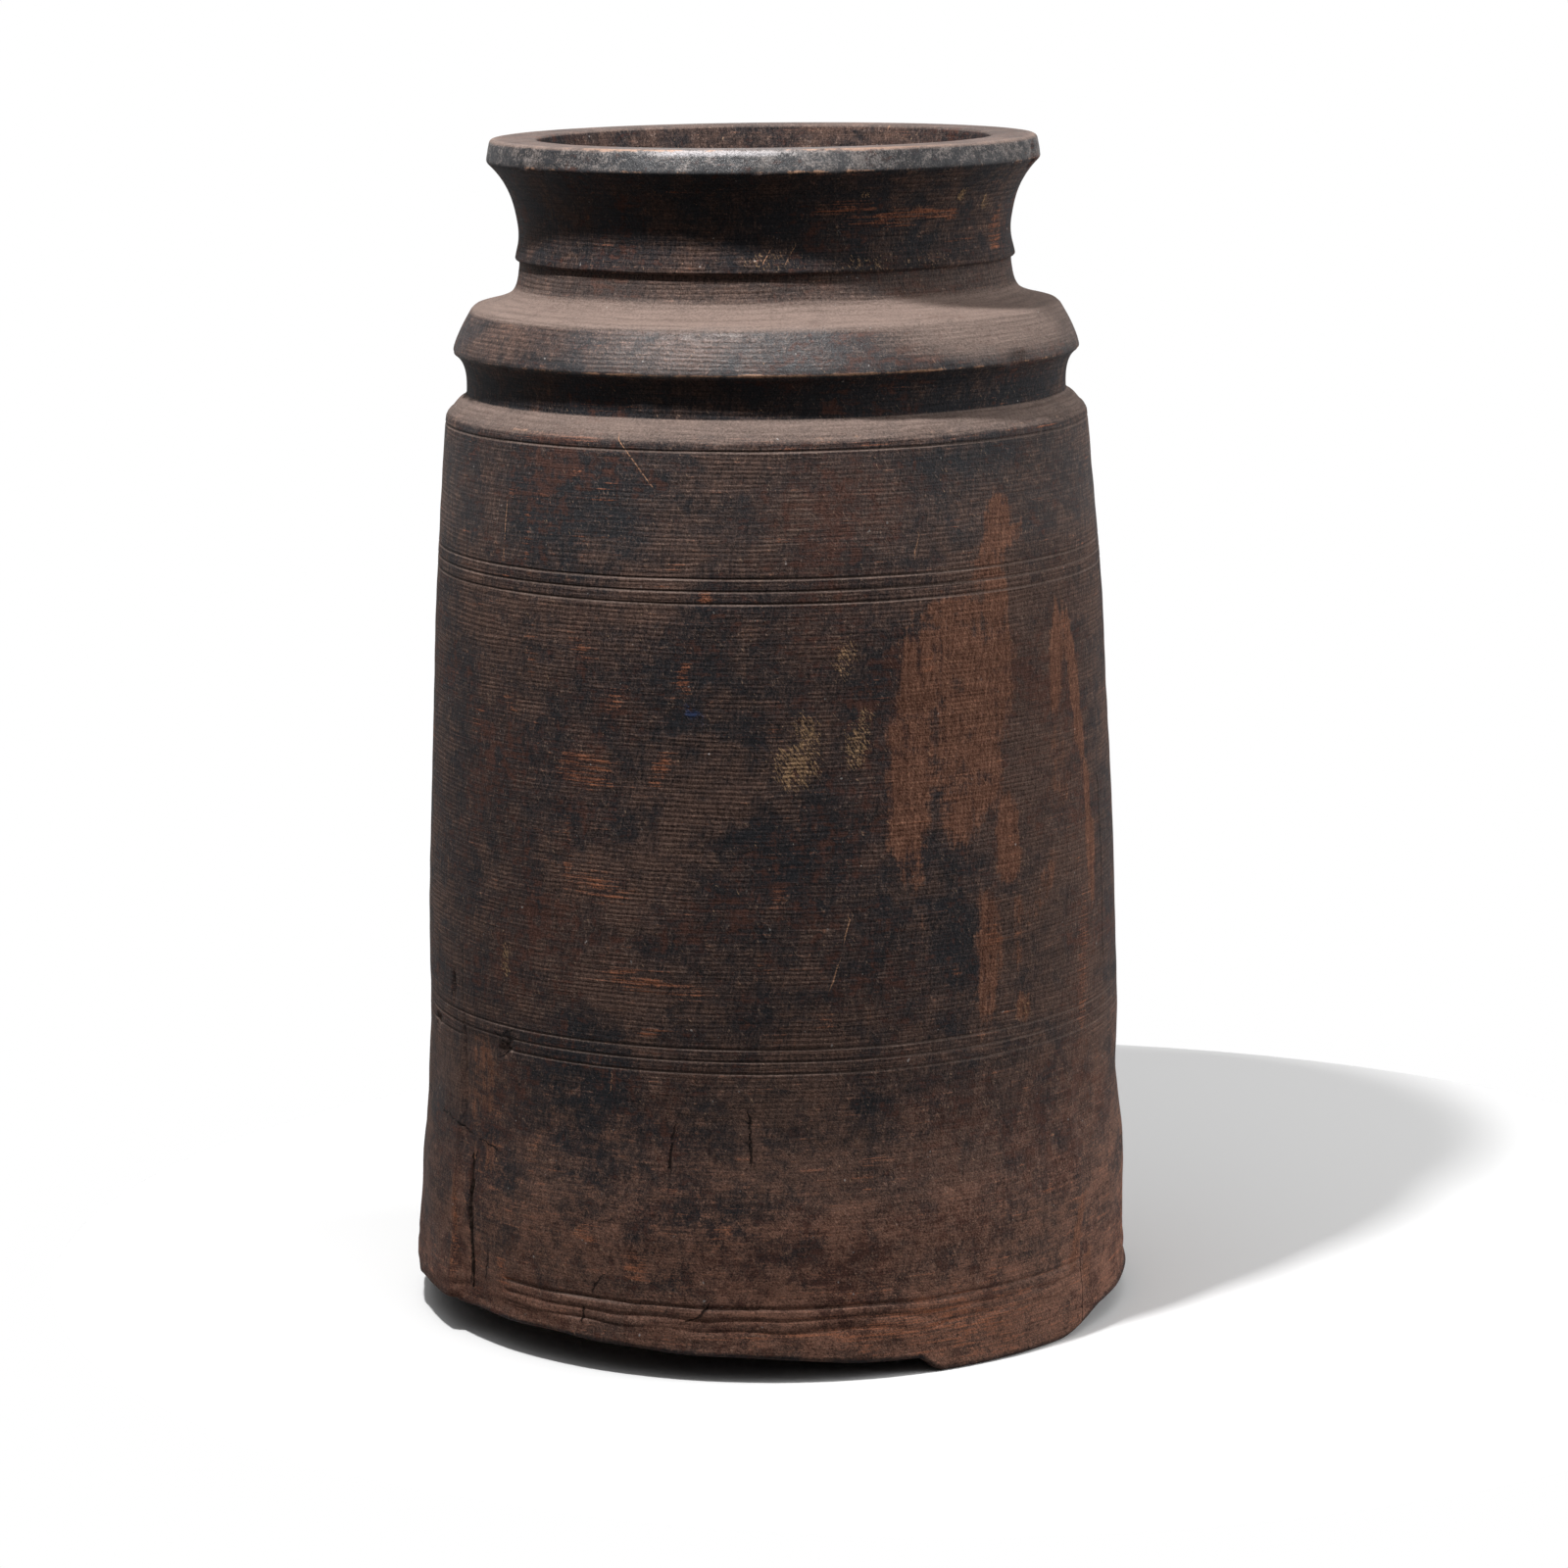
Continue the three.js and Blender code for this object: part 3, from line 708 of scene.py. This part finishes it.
board_shift = np.where(board_height < board_level + 1.0, -adze, 0.5 * adze) * inset
board_points = round_points(board_rows[:, :1], board_height + board_shift, turn)
bottom_board = grid_mesh("board_disc", board_points, loop=False)
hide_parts("bottom_board")
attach(bottom_board, "root")

# %% Bead of pitch
bead_size = 6.0
bead_turns = np.arange(0.0, 360.0, 2.0)
bead_top = board_level - seat_gap
bead_foot = bead_top - bead_size
in_corner = np.array([
    [board_radius, bead_foot],
    [board_radius, bead_top - bead_size / 2],
    [board_radius, bead_top],
    [board_radius - bead_size / 2, bead_top],
])
hollow = bend([board_radius - bead_size, bead_top],
              [board_radius - bead_size / 4, bead_top - bead_size / 4], [board_radius, bead_foot], 8)[:-1]
bead_rows = np.concatenate([in_corner, hollow])
turn, bead_height = np.meshgrid(bead_turns, bead_rows[:, 1])
turn_radians = np.radians(turn)
thumb = 0.5 * np.sin(turn_radians * 31 + np.sin(turn_radians * 5)) + 0.3 * np.sin(turn_radians * 67)
on_face = np.zeros((len(bead_rows), 1))
on_face[len(in_corner):] = np.sin(np.pi * np.linspace(0.1, 0.9, len(hollow)))[:, None]
bead_radius = bead_rows[:, :1] + 0.7 * thumb * on_face
bead_points = round_points(bead_radius, bead_height + 0.5 * thumb * on_face, turn)
pitch_bead = grid_mesh("pitch_bead", bead_points, loop=True)
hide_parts("bottom_seal")
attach(pitch_bead, "root")

# %% Filling of the split
filling_t = np.linspace(0.015, 0.985, 90)
swings = np.linspace(0.0, 2 * np.pi, 40, endpoint=False)
t, swing = np.meshgrid(filling_t, swings, indexing="ij")
cross = np.sign(np.cos(swing)) * np.abs(np.cos(swing)) ** 0.5
depth_share = np.sign(np.sin(swing)) * np.abs(np.sin(swing)) ** 0.5
draw = np.random.default_rng(21)
pits = draw.normal(0, 1, t.shape)
pits = (pits + np.roll(pits, 1, axis=0) + np.roll(pits, 1, axis=1)) / 1.7
outer_side = smooth(depth_share * 1.4)
filling_level = split_level + split_length * (t - 0.5)
filling_surface = side_radius_at(filling_level) - 0.3 + 0.25 * np.sin(t * 37) * np.sin(t * 11)
filling_radius = filling_surface - split_depth * 0.8 * (1 - depth_share) / 2 + 0.3 * pits * outer_side
sideways = leaf_crook(t) + (leaf_half_width(t) + 0.1) * cross
filling_turn = np.degrees(sideways / base_radius) + split_angle
filling = grid_mesh("split_pitch", round_points(filling_radius, filling_level, filling_turn), loop=False)
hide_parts("split_filling")
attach(filling, "root")


# %% [markdown]
# ## Shader maths as Python
# A finish is a graph of nodes. Written as Python it is easier to read: a small class wraps a number
# socket, so that 1 - mask or a * b adds the Math nodes, and one method adds any other node.
# Sockets of colour and place are wrapped too, and go only into nodes that take colours or places.

# %% A number in a shader
class Number:
    """A number socket. Sums, differences, products and powers of it add Math nodes."""

    def __init__(self, graph, socket):
        self.graph = graph
        self.socket = socket

    def maths(self, operation, first, second, clamp=False):
        """Adds one Math node for two numbers."""
        settings = {"operation": operation, "use_clamp": clamp}
        return self.graph.add("ShaderNodeMath", settings, {0: first, 1: second})

    def __add__(self, other):
        return self.maths("ADD", self, other)

    def __sub__(self, other):
        return self.maths("SUBTRACT", self, other)

    def __rsub__(self, other):
        return self.maths("SUBTRACT", other, self)

    def __mul__(self, other):
        return self.maths("MULTIPLY", self, other)

    def __pow__(self, other):
        return self.maths("POWER", self, other)

    __radd__ = __add__
    __rmul__ = __mul__

    def held(self):
        """The number held between 0 and 1."""
        return self.maths("ADD", self, 0.0, clamp=True)

    def most(self, other):
        """The larger of this number and another."""
        return self.maths("MAXIMUM", self, other)

    def size(self):
        """The number without its sign."""
        return self.maths("ABSOLUTE", self, 0.0)

    def wave(self):
        """The sine of the number, which counts in radians."""
        return self.maths("SINE", self, 0.0)

    def swing(self, amount):
        """How far the number is from 0.5, which is where noise has its middle, times an amount."""
        return (self - 0.5) * amount

    def between(self, low, high):
        """0 below low and 1 above high, with a soft step between. low may be the larger."""
        first, last = (0.0, 1.0) if low < high else (1.0, 0.0)
        return self.graph.add("ShaderNodeMapRange", {"interpolation_type": "SMOOTHSTEP"},
                              {0: self, 1: min(low, high), 2: max(low, high), 3: first, 4: last})


# %% A graph of shader nodes
class Graph:
    """The nodes of one material or of the surroundings, emptied first."""

    def __init__(self, owner):
        owner.use_nodes = True
        self.tree = owner.node_tree
        self.tree.nodes.clear()

    def add(self, kind, settings=None, inputs=None, output=0):
        """Adds one node: its settings first, then the value or link of each named or numbered input."""
        node = self.tree.nodes.new(kind)
        for name, value in (settings or {}).items():
            setattr(node, name, value)
        for name, value in (inputs or {}).items():
            if isinstance(value, Number):
                self.tree.links.new(value.socket, node.inputs[name])
            else:
                node.inputs[name].default_value = value
        return Number(self, node.outputs[output]) if node.outputs else None

    def mix(self, share, first, second):
        """Colour between first and second, by share."""
        return self.add("ShaderNodeMix", {"data_type": "RGBA"}, {0: share, 6: first, 7: second}, output=2)

    def seen(self):
        """1 for rays from the camera, and for those that mirror or pass through a piece; 0 for light."""
        camera, glossy, through = (self.add("ShaderNodeLightPath", output="Is %s Ray" % kind)
                                   for kind in ("Camera", "Glossy", "Transmission"))
        return camera.most(glossy).most(through)


class Finish(Graph):
    """A material being made. place is the position on the piece in millimetres."""

    def __init__(self, name):
        self.material = bpy.data.materials.new(name)
        super().__init__(self.material)
        position = self.add("ShaderNodeTexCoord", output="Object")
        self.place = self.add("ShaderNodeVectorMath", {"operation": "SCALE"}, {0: position, 3: 1 / METRE})
        self.height = self.add("ShaderNodeSeparateXYZ", None, {0: self.place}, output="Z")

    def noise(self, across, along, detail=3.0, rough=0.55, seed=0.0, lean=0.0, bent=0.0):
        """Noise round 0.5 whose grains are about across millimetres wide and along millimetres tall.
        A lean in degrees turns the place round the axis in step with the height, so that long grains
        climb the wall aslant and still join all the way round. bent curls the grains."""
        place = self.place
        if lean:
            turn = self.height * (np.tan(np.radians(lean)) / side_radius)
            place = self.add("ShaderNodeVectorRotate", {"rotation_type": "Z_AXIS"},
                             {"Vector": place, "Angle": turn})
        stretch = (1 / across, 1 / across, 1 / along)
        grain = self.add("ShaderNodeVectorMath", {"operation": "MULTIPLY_ADD"},
                         {0: place, 1: stretch, 2: (seed, seed * 1.7, seed * 0.6)})
        return self.add("ShaderNodeTexNoise", None, {
            "Vector": grain, "Scale": 1.0, "Detail": detail, "Roughness": rough, "Distortion": bent})

    def dim(self, colour, number):
        """A colour made darker or lighter by a number."""
        return self.add("ShaderNodeVectorMath", {"operation": "SCALE"}, {0: colour, 3: number})

    def painted(self, name):
        """The number that was painted on the points under a name."""
        return self.add("ShaderNodeAttribute", {"attribute_name": name}, None, output="Fac")

    def bump(self, height, distance):
        """A bump from a height that counts in units of distance, in millimetres."""
        return self.add("ShaderNodeBump", None, {
            "Strength": 1.0, "Distance": distance * METRE, "Height": height})

    def shader(self, colour, roughness, normal, gloss):
        """The usual surface shader, with gloss as the strength of its reflections."""
        return self.add("ShaderNodeBsdfPrincipled", None, {
            "Base Color": colour, "Roughness": roughness, "Normal": normal, "Specular IOR Level": gloss})

    def finish(self, shader):
        """Joins the shader to the output and gives back the finished material."""
        self.add("ShaderNodeOutputMaterial", None, {"Surface": shader})
        return self.material


def tone(red, green, blue):
    """A colour of linear red, green and blue, with nothing showing through."""
    return (red, green, blue, 1.0)


# %% [markdown]
# ## Patinated wood
# The black is a thin skin of soot, fat and wax over brown wood. It is nowhere one colour: cold black,
# brown and reddish patches lie side by side, and each is broken up by grains, strokes and the fine
# ridges of the turner's tool. So each colour gets a mask, and each mask is a sum of painted wear and
# noise of a few sizes. Where the sum passes a limit, the next colour shows. In these functions f is
# the finish, with one letter because it stands before every field of noise.

# %% Colours of the wall
COAL = tone(0.0242, 0.0242, 0.0272)
UMBER = tone(0.112, 0.069, 0.055)
RED_BROWN = tone(0.135, 0.056, 0.037)
EARTH = tone(0.285, 0.143, 0.099)
HAZE = tone(0.19, 0.145, 0.123)
BROWN = tone(0.15, 0.068, 0.044)
GRAIN = tone(0.25, 0.12, 0.077)
RUST = tone(0.36, 0.125, 0.06)
CRUST = tone(0.38, 0.235, 0.125)
BLUE = tone(0.035, 0.06, 0.15)
COPPER = tone(0.5, 0.27, 0.16)
# Dust colour, which in the fine grooves is also a painted highlight.
DUST_AND_GLINT = tone(0.218, 0.161, 0.137)
FILM = tone(0.185, 0.16, 0.149)
# The pale colour of the glints on the front of the lip and the ring: painted highlight.
PAINTED_GLINT = tone(0.42, 0.4, 0.415)
WHITE_DOT = tone(0.55, 0.52, 0.5)
CRACK = tone(0.003, 0.003, 0.003)


# %% The wall's noise, and its tool ridges in millimetres
ridge_spacing = 1.75


def wall_noise(f):
    """Adds the noise fields of the wall to the finish, each under its own name."""
    f.cloud = f.noise(60, 46, detail=4.0, seed=27)
    f.blotch = f.noise(15, 12, detail=5.0, rough=0.62, seed=21, bent=0.4)
    f.mottle = f.noise(4.2, 3.6, detail=4.0, rough=0.62, seed=36, bent=0.6)
    f.drag = f.noise(12, 1.5, detail=3.0, rough=0.6, seed=14)
    f.line = f.noise(24, 0.6, detail=2.0, rough=0.6, seed=51)
    f.streak = f.noise(2.2, 30, detail=4.0, rough=0.62, seed=33)
    f.hatch = f.noise(0.75, 4.5, detail=2.0, rough=0.6, seed=44, lean=-12.0, bent=0.5)
    f.stroke = f.noise(0.6, 2.4, detail=1.0, rough=0.5, seed=12, lean=32.0, bent=1.0)
    f.grit = f.noise(0.8, 0.62, detail=3.0, rough=0.7, seed=17, bent=0.6)
    wobble = f.noise(70, 26, detail=2.0, seed=3)
    turns = f.height * (2 * np.pi / ridge_spacing) + wobble * 17.0 + f.mottle.swing(4.0)
    f.ridge = turns.wave() * 0.5 + 0.5
    f.turned = f.painted("turned")
    kept = (f.mottle * 0.35 + f.blotch * 0.35 + f.cloud * 0.3).between(0.44, 0.56)
    f.ridged = f.turned * (0.2 + kept * 0.8)
    f.warm = f.painted("warm")
    f.earthy = f.painted("earthy")
    f.inner = f.painted("inner")
    f.polish = f.painted("polish")


# %% The dark skin
def skin_colour(f):
    """Cold black and brown by a mottled mask, then reddish patches, earthy grain and pale haze."""
    # The warm layer also holds painted shade: under the rim and in the cove it pushes the skin to cold
    # black.
    patches = f.blotch * 0.34 + f.mottle * 0.24 + f.drag * 0.1 + f.hatch * 0.13
    patches = patches + f.streak * 0.11 + f.grit * 0.08 + f.warm * 0.075
    skin = f.mix((patches + f.cloud.swing(0.4)).between(0.425, 0.615), COAL, UMBER)
    reddish = f.cloud * 0.35 + f.streak * 0.15 + f.mottle * 0.3 + f.drag * 0.2
    skin = f.mix((1 - reddish + f.warm * 0.03).between(0.51, 0.6) * 0.52, skin, RED_BROWN)
    grainy = patches + f.blotch.swing(0.7) + f.mottle.swing(0.6) + f.grit.swing(0.7) + f.drag.swing(0.4)
    skin = f.mix(f.earthy * (grainy + (f.earthy - 0.5) * 0.2).between(0.4, 0.84), skin, EARTH)
    hazy = f.stroke * 0.3 + f.hatch * 0.2 + f.mottle * 0.25 + f.grit * 0.25
    return f.mix(hazy.between(0.54, 0.66) * (0.36 + f.warm * 0.1).held(), skin, HAZE)


# %% Bare wood, flecks, crust and worn edges
def worn_colour(f, skin):
    """Lays bare wood, flecks, crust, the blue speck, grey film with its painted highlights, and worn edges
    over the skin.
    """
    rubbed = f.painted("bare") + f.blotch.swing(1.7) + f.streak.swing(1.6) + f.mottle.swing(1.2)
    rubbed = rubbed + f.drag.swing(0.6) + f.grit.swing(0.7)
    f.bare = rubbed.between(0.42, 0.95) * 0.85
    wood = f.mix((f.streak * 0.3 + f.stroke * 0.3 + f.hatch * 0.4).between(0.4, 0.68), BROWN, GRAIN)
    colour = f.mix(f.bare, skin, wood)
    flecks = f.painted("rust") * 0.8 + f.mottle.swing(1.2) + f.grit.swing(1.4) + f.drag.swing(1.2)
    flecks = flecks + f.line.swing(2.4) + f.earthy * 0.3
    colour = f.mix(flecks.between(0.5, 1.15) * 0.6, colour, RUST)
    crust = f.painted("crust") + f.stroke.swing(3.0) + f.grit.swing(2.2) + f.mottle.swing(0.6)
    colour = f.mix(crust.between(0.7, 1.3) * 0.7, colour, CRUST)
    blue = f.painted("blue") + f.mottle.swing(1.2) + f.grit.swing(1.4)
    colour = f.mix(blue.between(0.5, 1.0) * 0.6, colour, BLUE)
    grey = f.mottle * 0.3 + f.grit * 0.35 + (f.streak * f.inner + f.blotch * (1 - f.inner)) * 0.35
    # Past 1 the film turns from grey to a pale colour: this is painted highlight, on the front of the lip
    # and the ring.
    film_and_glint = f.painted("film_and_glint")
    film_glint_colour = f.mix((film_and_glint - 1.0).held(), FILM, PAINTED_GLINT)
    colour = f.mix((film_and_glint * (grey + (film_and_glint - 1.0) * 0.1).between(0.47, 0.58) * 0.9).held(), colour, film_glint_colour)
    edge = f.painted("edge") + f.blotch.swing(2.4) + f.mottle.swing(2.0) + f.inner * (f.streak - 0.62) * 9.0
    return f.mix(edge.between(0.9, 1.25) * 0.7, colour, COPPER)


# %% Dust, lines and fine contrast
def finished_colour(f, colour):
    """Dust where the wall faces up and where it is painted, which in the fine grooves also stands for a
    painted highlight; white dots, cracks and scratches. Then the colour is made lighter or darker by fine
    grain, and darker between the ridges."""
    up = f.add("ShaderNodeSeparateXYZ", None, {0: f.add("ShaderNodeTexCoord", output="Normal")}, output="Z")
    settled = 0.97 + f.blotch.swing(0.9) + f.mottle.swing(0.6) + f.drag.swing(0.3) + f.grit.swing(0.6)
    # The painted dust layer also holds the painted highlight in the fine grooves.
    dust_and_glint_share = up.between(0.26, 0.62) * (1 - f.polish * 0.7) * (1 - f.earthy).held() + f.painted("dust")
    f.dusty = (dust_and_glint_share.held() * settled).held() * (1 - f.inner * 0.5)
    colour = f.mix(f.dusty, colour, DUST_AND_GLINT)
    dots = f.noise(2.4, 2.4, detail=1.0, seed=41).between(0.78, 0.82)
    colour = f.mix(dots * 0.5, colour, WHITE_DOT)
    waver = f.mottle.swing(3.4) + f.grit.swing(1.2)
    crack = (f.painted("crack_distance") + waver).size().between(0.6, 0.1) * f.painted("crack_share")
    f.crack = crack * f.blotch.between(0.36, 0.46)
    colour = f.mix(f.crack * 0.85, colour, CRACK)
    scratch = (f.painted("scratch_distance") + waver * 0.14).size().between(0.32, 0.08)
    scratch = scratch * f.painted("scratch_share")
    colour = f.mix(scratch * (f.grit + f.mottle).between(0.86, 1.04) * 0.85, colour, COPPER)
    fine = f.grit.swing(2.6) + f.line.swing(1.4) + f.stroke.swing(0.8) + f.hatch.swing(1.2 - f.earthy)
    contrast = 1.1 + fine * (1 - f.dusty * 0.6)
    between_ridges = f.ridge.between(0.34, 0.0) * f.ridged * (1 - f.bare * 0.7)
    return f.dim(colour, (contrast - between_ridges * (0.38 - f.dusty * 0.2)).most(0.2))


# %% The wall's finish
def patinated_wood():
    """Two shaders of one colour: a dull one, and a polished one where hands rub the rim and the ring."""
    f = Finish("patinated_wood")
    wall_noise(f)
    colour = finished_colour(f, worn_colour(f, skin_colour(f)))
    tooled = f.ridge * f.ridged * 0.38 + f.line * f.turned * 0.5
    relief = tooled * (1 - f.bare * 0.6) + f.stroke * 0.5 + f.hatch * 0.5 + f.grit * 0.8 + f.mottle * 0.5
    normal = f.bump(relief + f.streak * f.bare * 0.4 - f.crack * 2.0, 0.36)
    dull = f.shader(colour, 0.7 + f.grit.swing(0.3), normal, gloss=0.03)
    waxed = f.shader(colour, 0.42 + f.grit.swing(0.3) + f.mottle.swing(0.3), normal, gloss=0.9)
    shine = (f.polish + 0.03) * (1 - f.dusty * 0.7) * (1 - f.bare * 0.6) * (f.mottle * 1.8)
    return f.finish(f.add("ShaderNodeMixShader", None, {0: shine.held(), 1: dull, 2: waxed}))


wood = patinated_wood()
pot_wall.data.materials.append(wood)
print("wall finish:", len(wood.node_tree.nodes), "nodes")

# %% [markdown]
# ## Board wood and pitch
# The board is never rubbed, so it stays dull and shows long straight grain under the dirt.
# Pitch is a hard, dark resin. The fresh bead is glossy, the old filling is dull and pitted.


# %% Finishes of the small pieces
BOARD_DARK = tone(0.05, 0.03, 0.02)
BOARD_LIGHT = tone(0.15, 0.09, 0.055)
BOARD_DIRT = tone(0.025, 0.02, 0.017)
PITCH = tone(0.012, 0.009, 0.007)
PITCH_DUST = tone(0.05, 0.035, 0.025)
OLD_PITCH = tone(0.03, 0.02, 0.016)
OLD_PITCH_DUST = tone(0.12, 0.076, 0.057)
board_grain = (1 / 90, 1 / 3.2, 1 / 30)


def board_wood():
    """Light and dark grain that is long one way, under patches of dirt."""
    f = Finish("board_wood")
    grain = f.add("ShaderNodeVectorMath", {"operation": "MULTIPLY"}, {0: f.place, 1: board_grain})
    figure = f.add("ShaderNodeTexNoise", None, {
        "Vector": grain, "Scale": 1.0, "Detail": 4.0, "Distortion": 0.8})
    dirt = f.noise(24, 24, detail=4.0, seed=5)
    pores = f.noise(0.9, 0.9, detail=2.0, seed=9)
    colour = f.mix(figure.between(0.36, 0.66), BOARD_DARK, BOARD_LIGHT)
    colour = f.mix(dirt.between(0.45, 0.7) * 0.8, colour, BOARD_DIRT)
    rough = 0.7 + pores.swing(0.2)
    return f.finish(f.shader(colour, rough, f.bump(figure * 0.6 + pores * 0.4, 0.4), gloss=0.3))


def pitch_finish(name, dark, dusty, roughness, lumps, gloss):
    """Dark pitch with dusty patches, and lumps of a height in millimetres."""
    f = Finish(name)
    coarse = f.noise(5, 5, detail=3.0, seed=2)
    small = f.noise(0.9, 0.9, detail=3.0, rough=0.7, seed=6)
    colour = f.mix((coarse * 0.5 + small * 0.5).between(0.5, 0.72) * 0.6, dark, dusty)
    rough = roughness + small.swing(0.3)
    return f.finish(f.shader(colour, rough, f.bump(coarse * 0.5 + small * 0.5, lumps), gloss))


finishes = [
    (bottom_board, board_wood()),
    (pitch_bead, pitch_finish("pitch", PITCH, PITCH_DUST, roughness=0.35, lumps=0.5, gloss=0.3)),
    (filling, pitch_finish("old_pitch", OLD_PITCH, OLD_PITCH_DUST, roughness=0.7, lumps=0.9, gloss=0.04)),
]
for piece, finish in finishes:
    piece.data.materials.append(finish)
    print(piece.name, "is finished in", finish.name)

# %% [markdown]
# ## Floor and surroundings
# The floor is a round white sheet, just large enough for the pot's shadow. Its edge can't be seen,
# because sheet and surroundings both look white. What the eye or a mirror sees is chosen apart from
# what lights the pot: the sky that lights it is bright overhead and dim at the horizon, as in a studio.

# %% Floor
scene = bpy.context.scene
scene.view_settings.view_transform = "Standard"
floor_radius = 0.36
floor_middle = (0.07, 0.05)
WHITE = tone(1.0, 1.0, 1.0)
GREY = tone(0.18, 0.18, 0.18)

floor_turns = np.linspace(0.0, 2 * np.pi, 96, endpoint=False)
floor_points = np.stack([floor_middle[0] + floor_radius * np.cos(floor_turns),
                         floor_middle[1] + floor_radius * np.sin(floor_turns), 0 * floor_turns], axis=1)
floor_mesh = bpy.data.meshes.new("floor")
floor_mesh.from_pydata(floor_points.tolist(), [], [list(range(len(floor_turns)))])
floor = bpy.data.objects.new("floor", floor_mesh)
scene.collection.objects.link(floor)

sheet = Finish("white_sheet")
paper = sheet.mix(sheet.seen(), GREY, WHITE)
floor_mesh.materials.append(sheet.finish(sheet.add("ShaderNodeBsdfDiffuse", None, {"Color": paper})))
print("floor of radius", floor_radius, "m")

# %% Surroundings
horizon_light = 0.02
overhead_light = 1.54
world = bpy.data.worlds.new("surroundings")
scene.world = world
sky = Graph(world)
direction = sky.add("ShaderNodeTexCoord", output="Generated")
rise = sky.add("ShaderNodeSeparateXYZ", None, {0: direction}, output="Z").held()
dome = sky.add("ShaderNodeBackground", None, {"Strength": rise ** 4.0 * overhead_light + horizon_light})
white = sky.add("ShaderNodeBackground", None, {"Color": WHITE, "Strength": 1.0})
shown = sky.add("ShaderNodeMixShader", None, {0: sky.seen(), 1: dome, 2: white})
sky.add("ShaderNodeOutputWorld", None, {"Surface": shown})
print("sky from", horizon_light, "at the horizon to", horizon_light + overhead_light, "overhead")

# %% [markdown]
# ## Lamps
# A small lamp stands near, high on the left front, and throws the pot's shadow to the right and
# back. A second one, wide, low and farther off, fills the right side.


# %% Two lamps
def lamp(name, turn, rise_angle, distance, size, power):
    """A square lamp at an angle from -Y towards +X and a rise above the floor, both in degrees,
    that looks at the middle of the pot."""
    turn, rise_angle = np.radians(turn), np.radians(rise_angle)
    aim = np.array([0.0, 0.0, lip_level * METRE / 2])
    level_way = np.array([np.sin(turn), -np.cos(turn), 0.0])
    towards = level_way * np.cos(rise_angle) + np.array([0.0, 0.0, np.sin(rise_angle)])
    light = bpy.data.lights.new(name, "AREA")
    light.size = size
    light.energy = power
    holder = bpy.data.objects.new(name, light)
    holder.location = (aim + distance * towards).tolist()
    holder.rotation_euler = (np.pi / 2 - rise_angle, 0.0, turn)
    scene.collection.objects.link(holder)
    print(name, "of", power, "W,", distance, "m from the pot")


lamp("key_lamp", turn=-31.0, rise_angle=65.0, distance=1.0, size=0.06, power=10.2)
lamp("fill_lamp", turn=90.0, rise_angle=15.0, distance=2.2, size=1.3, power=26.0)

# %% [markdown]
# ## Camera
# The camera stands about 1.9 m away and half a metre up, with a long lens, as the ellipses of the
# rim, the ring and the base in the photograph tell. The picture leans by a little over half a degree.

# %% Camera
image_side = 1600
focal_pixels = 5073.8
camera_distance = 1.9
camera_height = 0.545
pitch_down = 10.2965
picture_lean = 0.62
axis_offset_pixels = 13.3

lens = bpy.data.cameras.new("camera")
lens.sensor_width = 36.0
lens.lens = focal_pixels / image_side * lens.sensor_width
camera = bpy.data.objects.new("camera", lens)
aim = Euler((np.pi / 2 - np.radians(pitch_down), 0.0, -np.arctan(axis_offset_pixels / focal_pixels)))
camera.matrix_world = (Matrix.Translation((0.0, -camera_distance, camera_height)) @ aim.to_matrix().to_4x4()
                       @ Matrix.Rotation(-np.radians(picture_lean), 4, "Z"))
scene.collection.objects.link(camera)
scene.camera = camera
print("lens", round(lens.lens, 2), "mm")
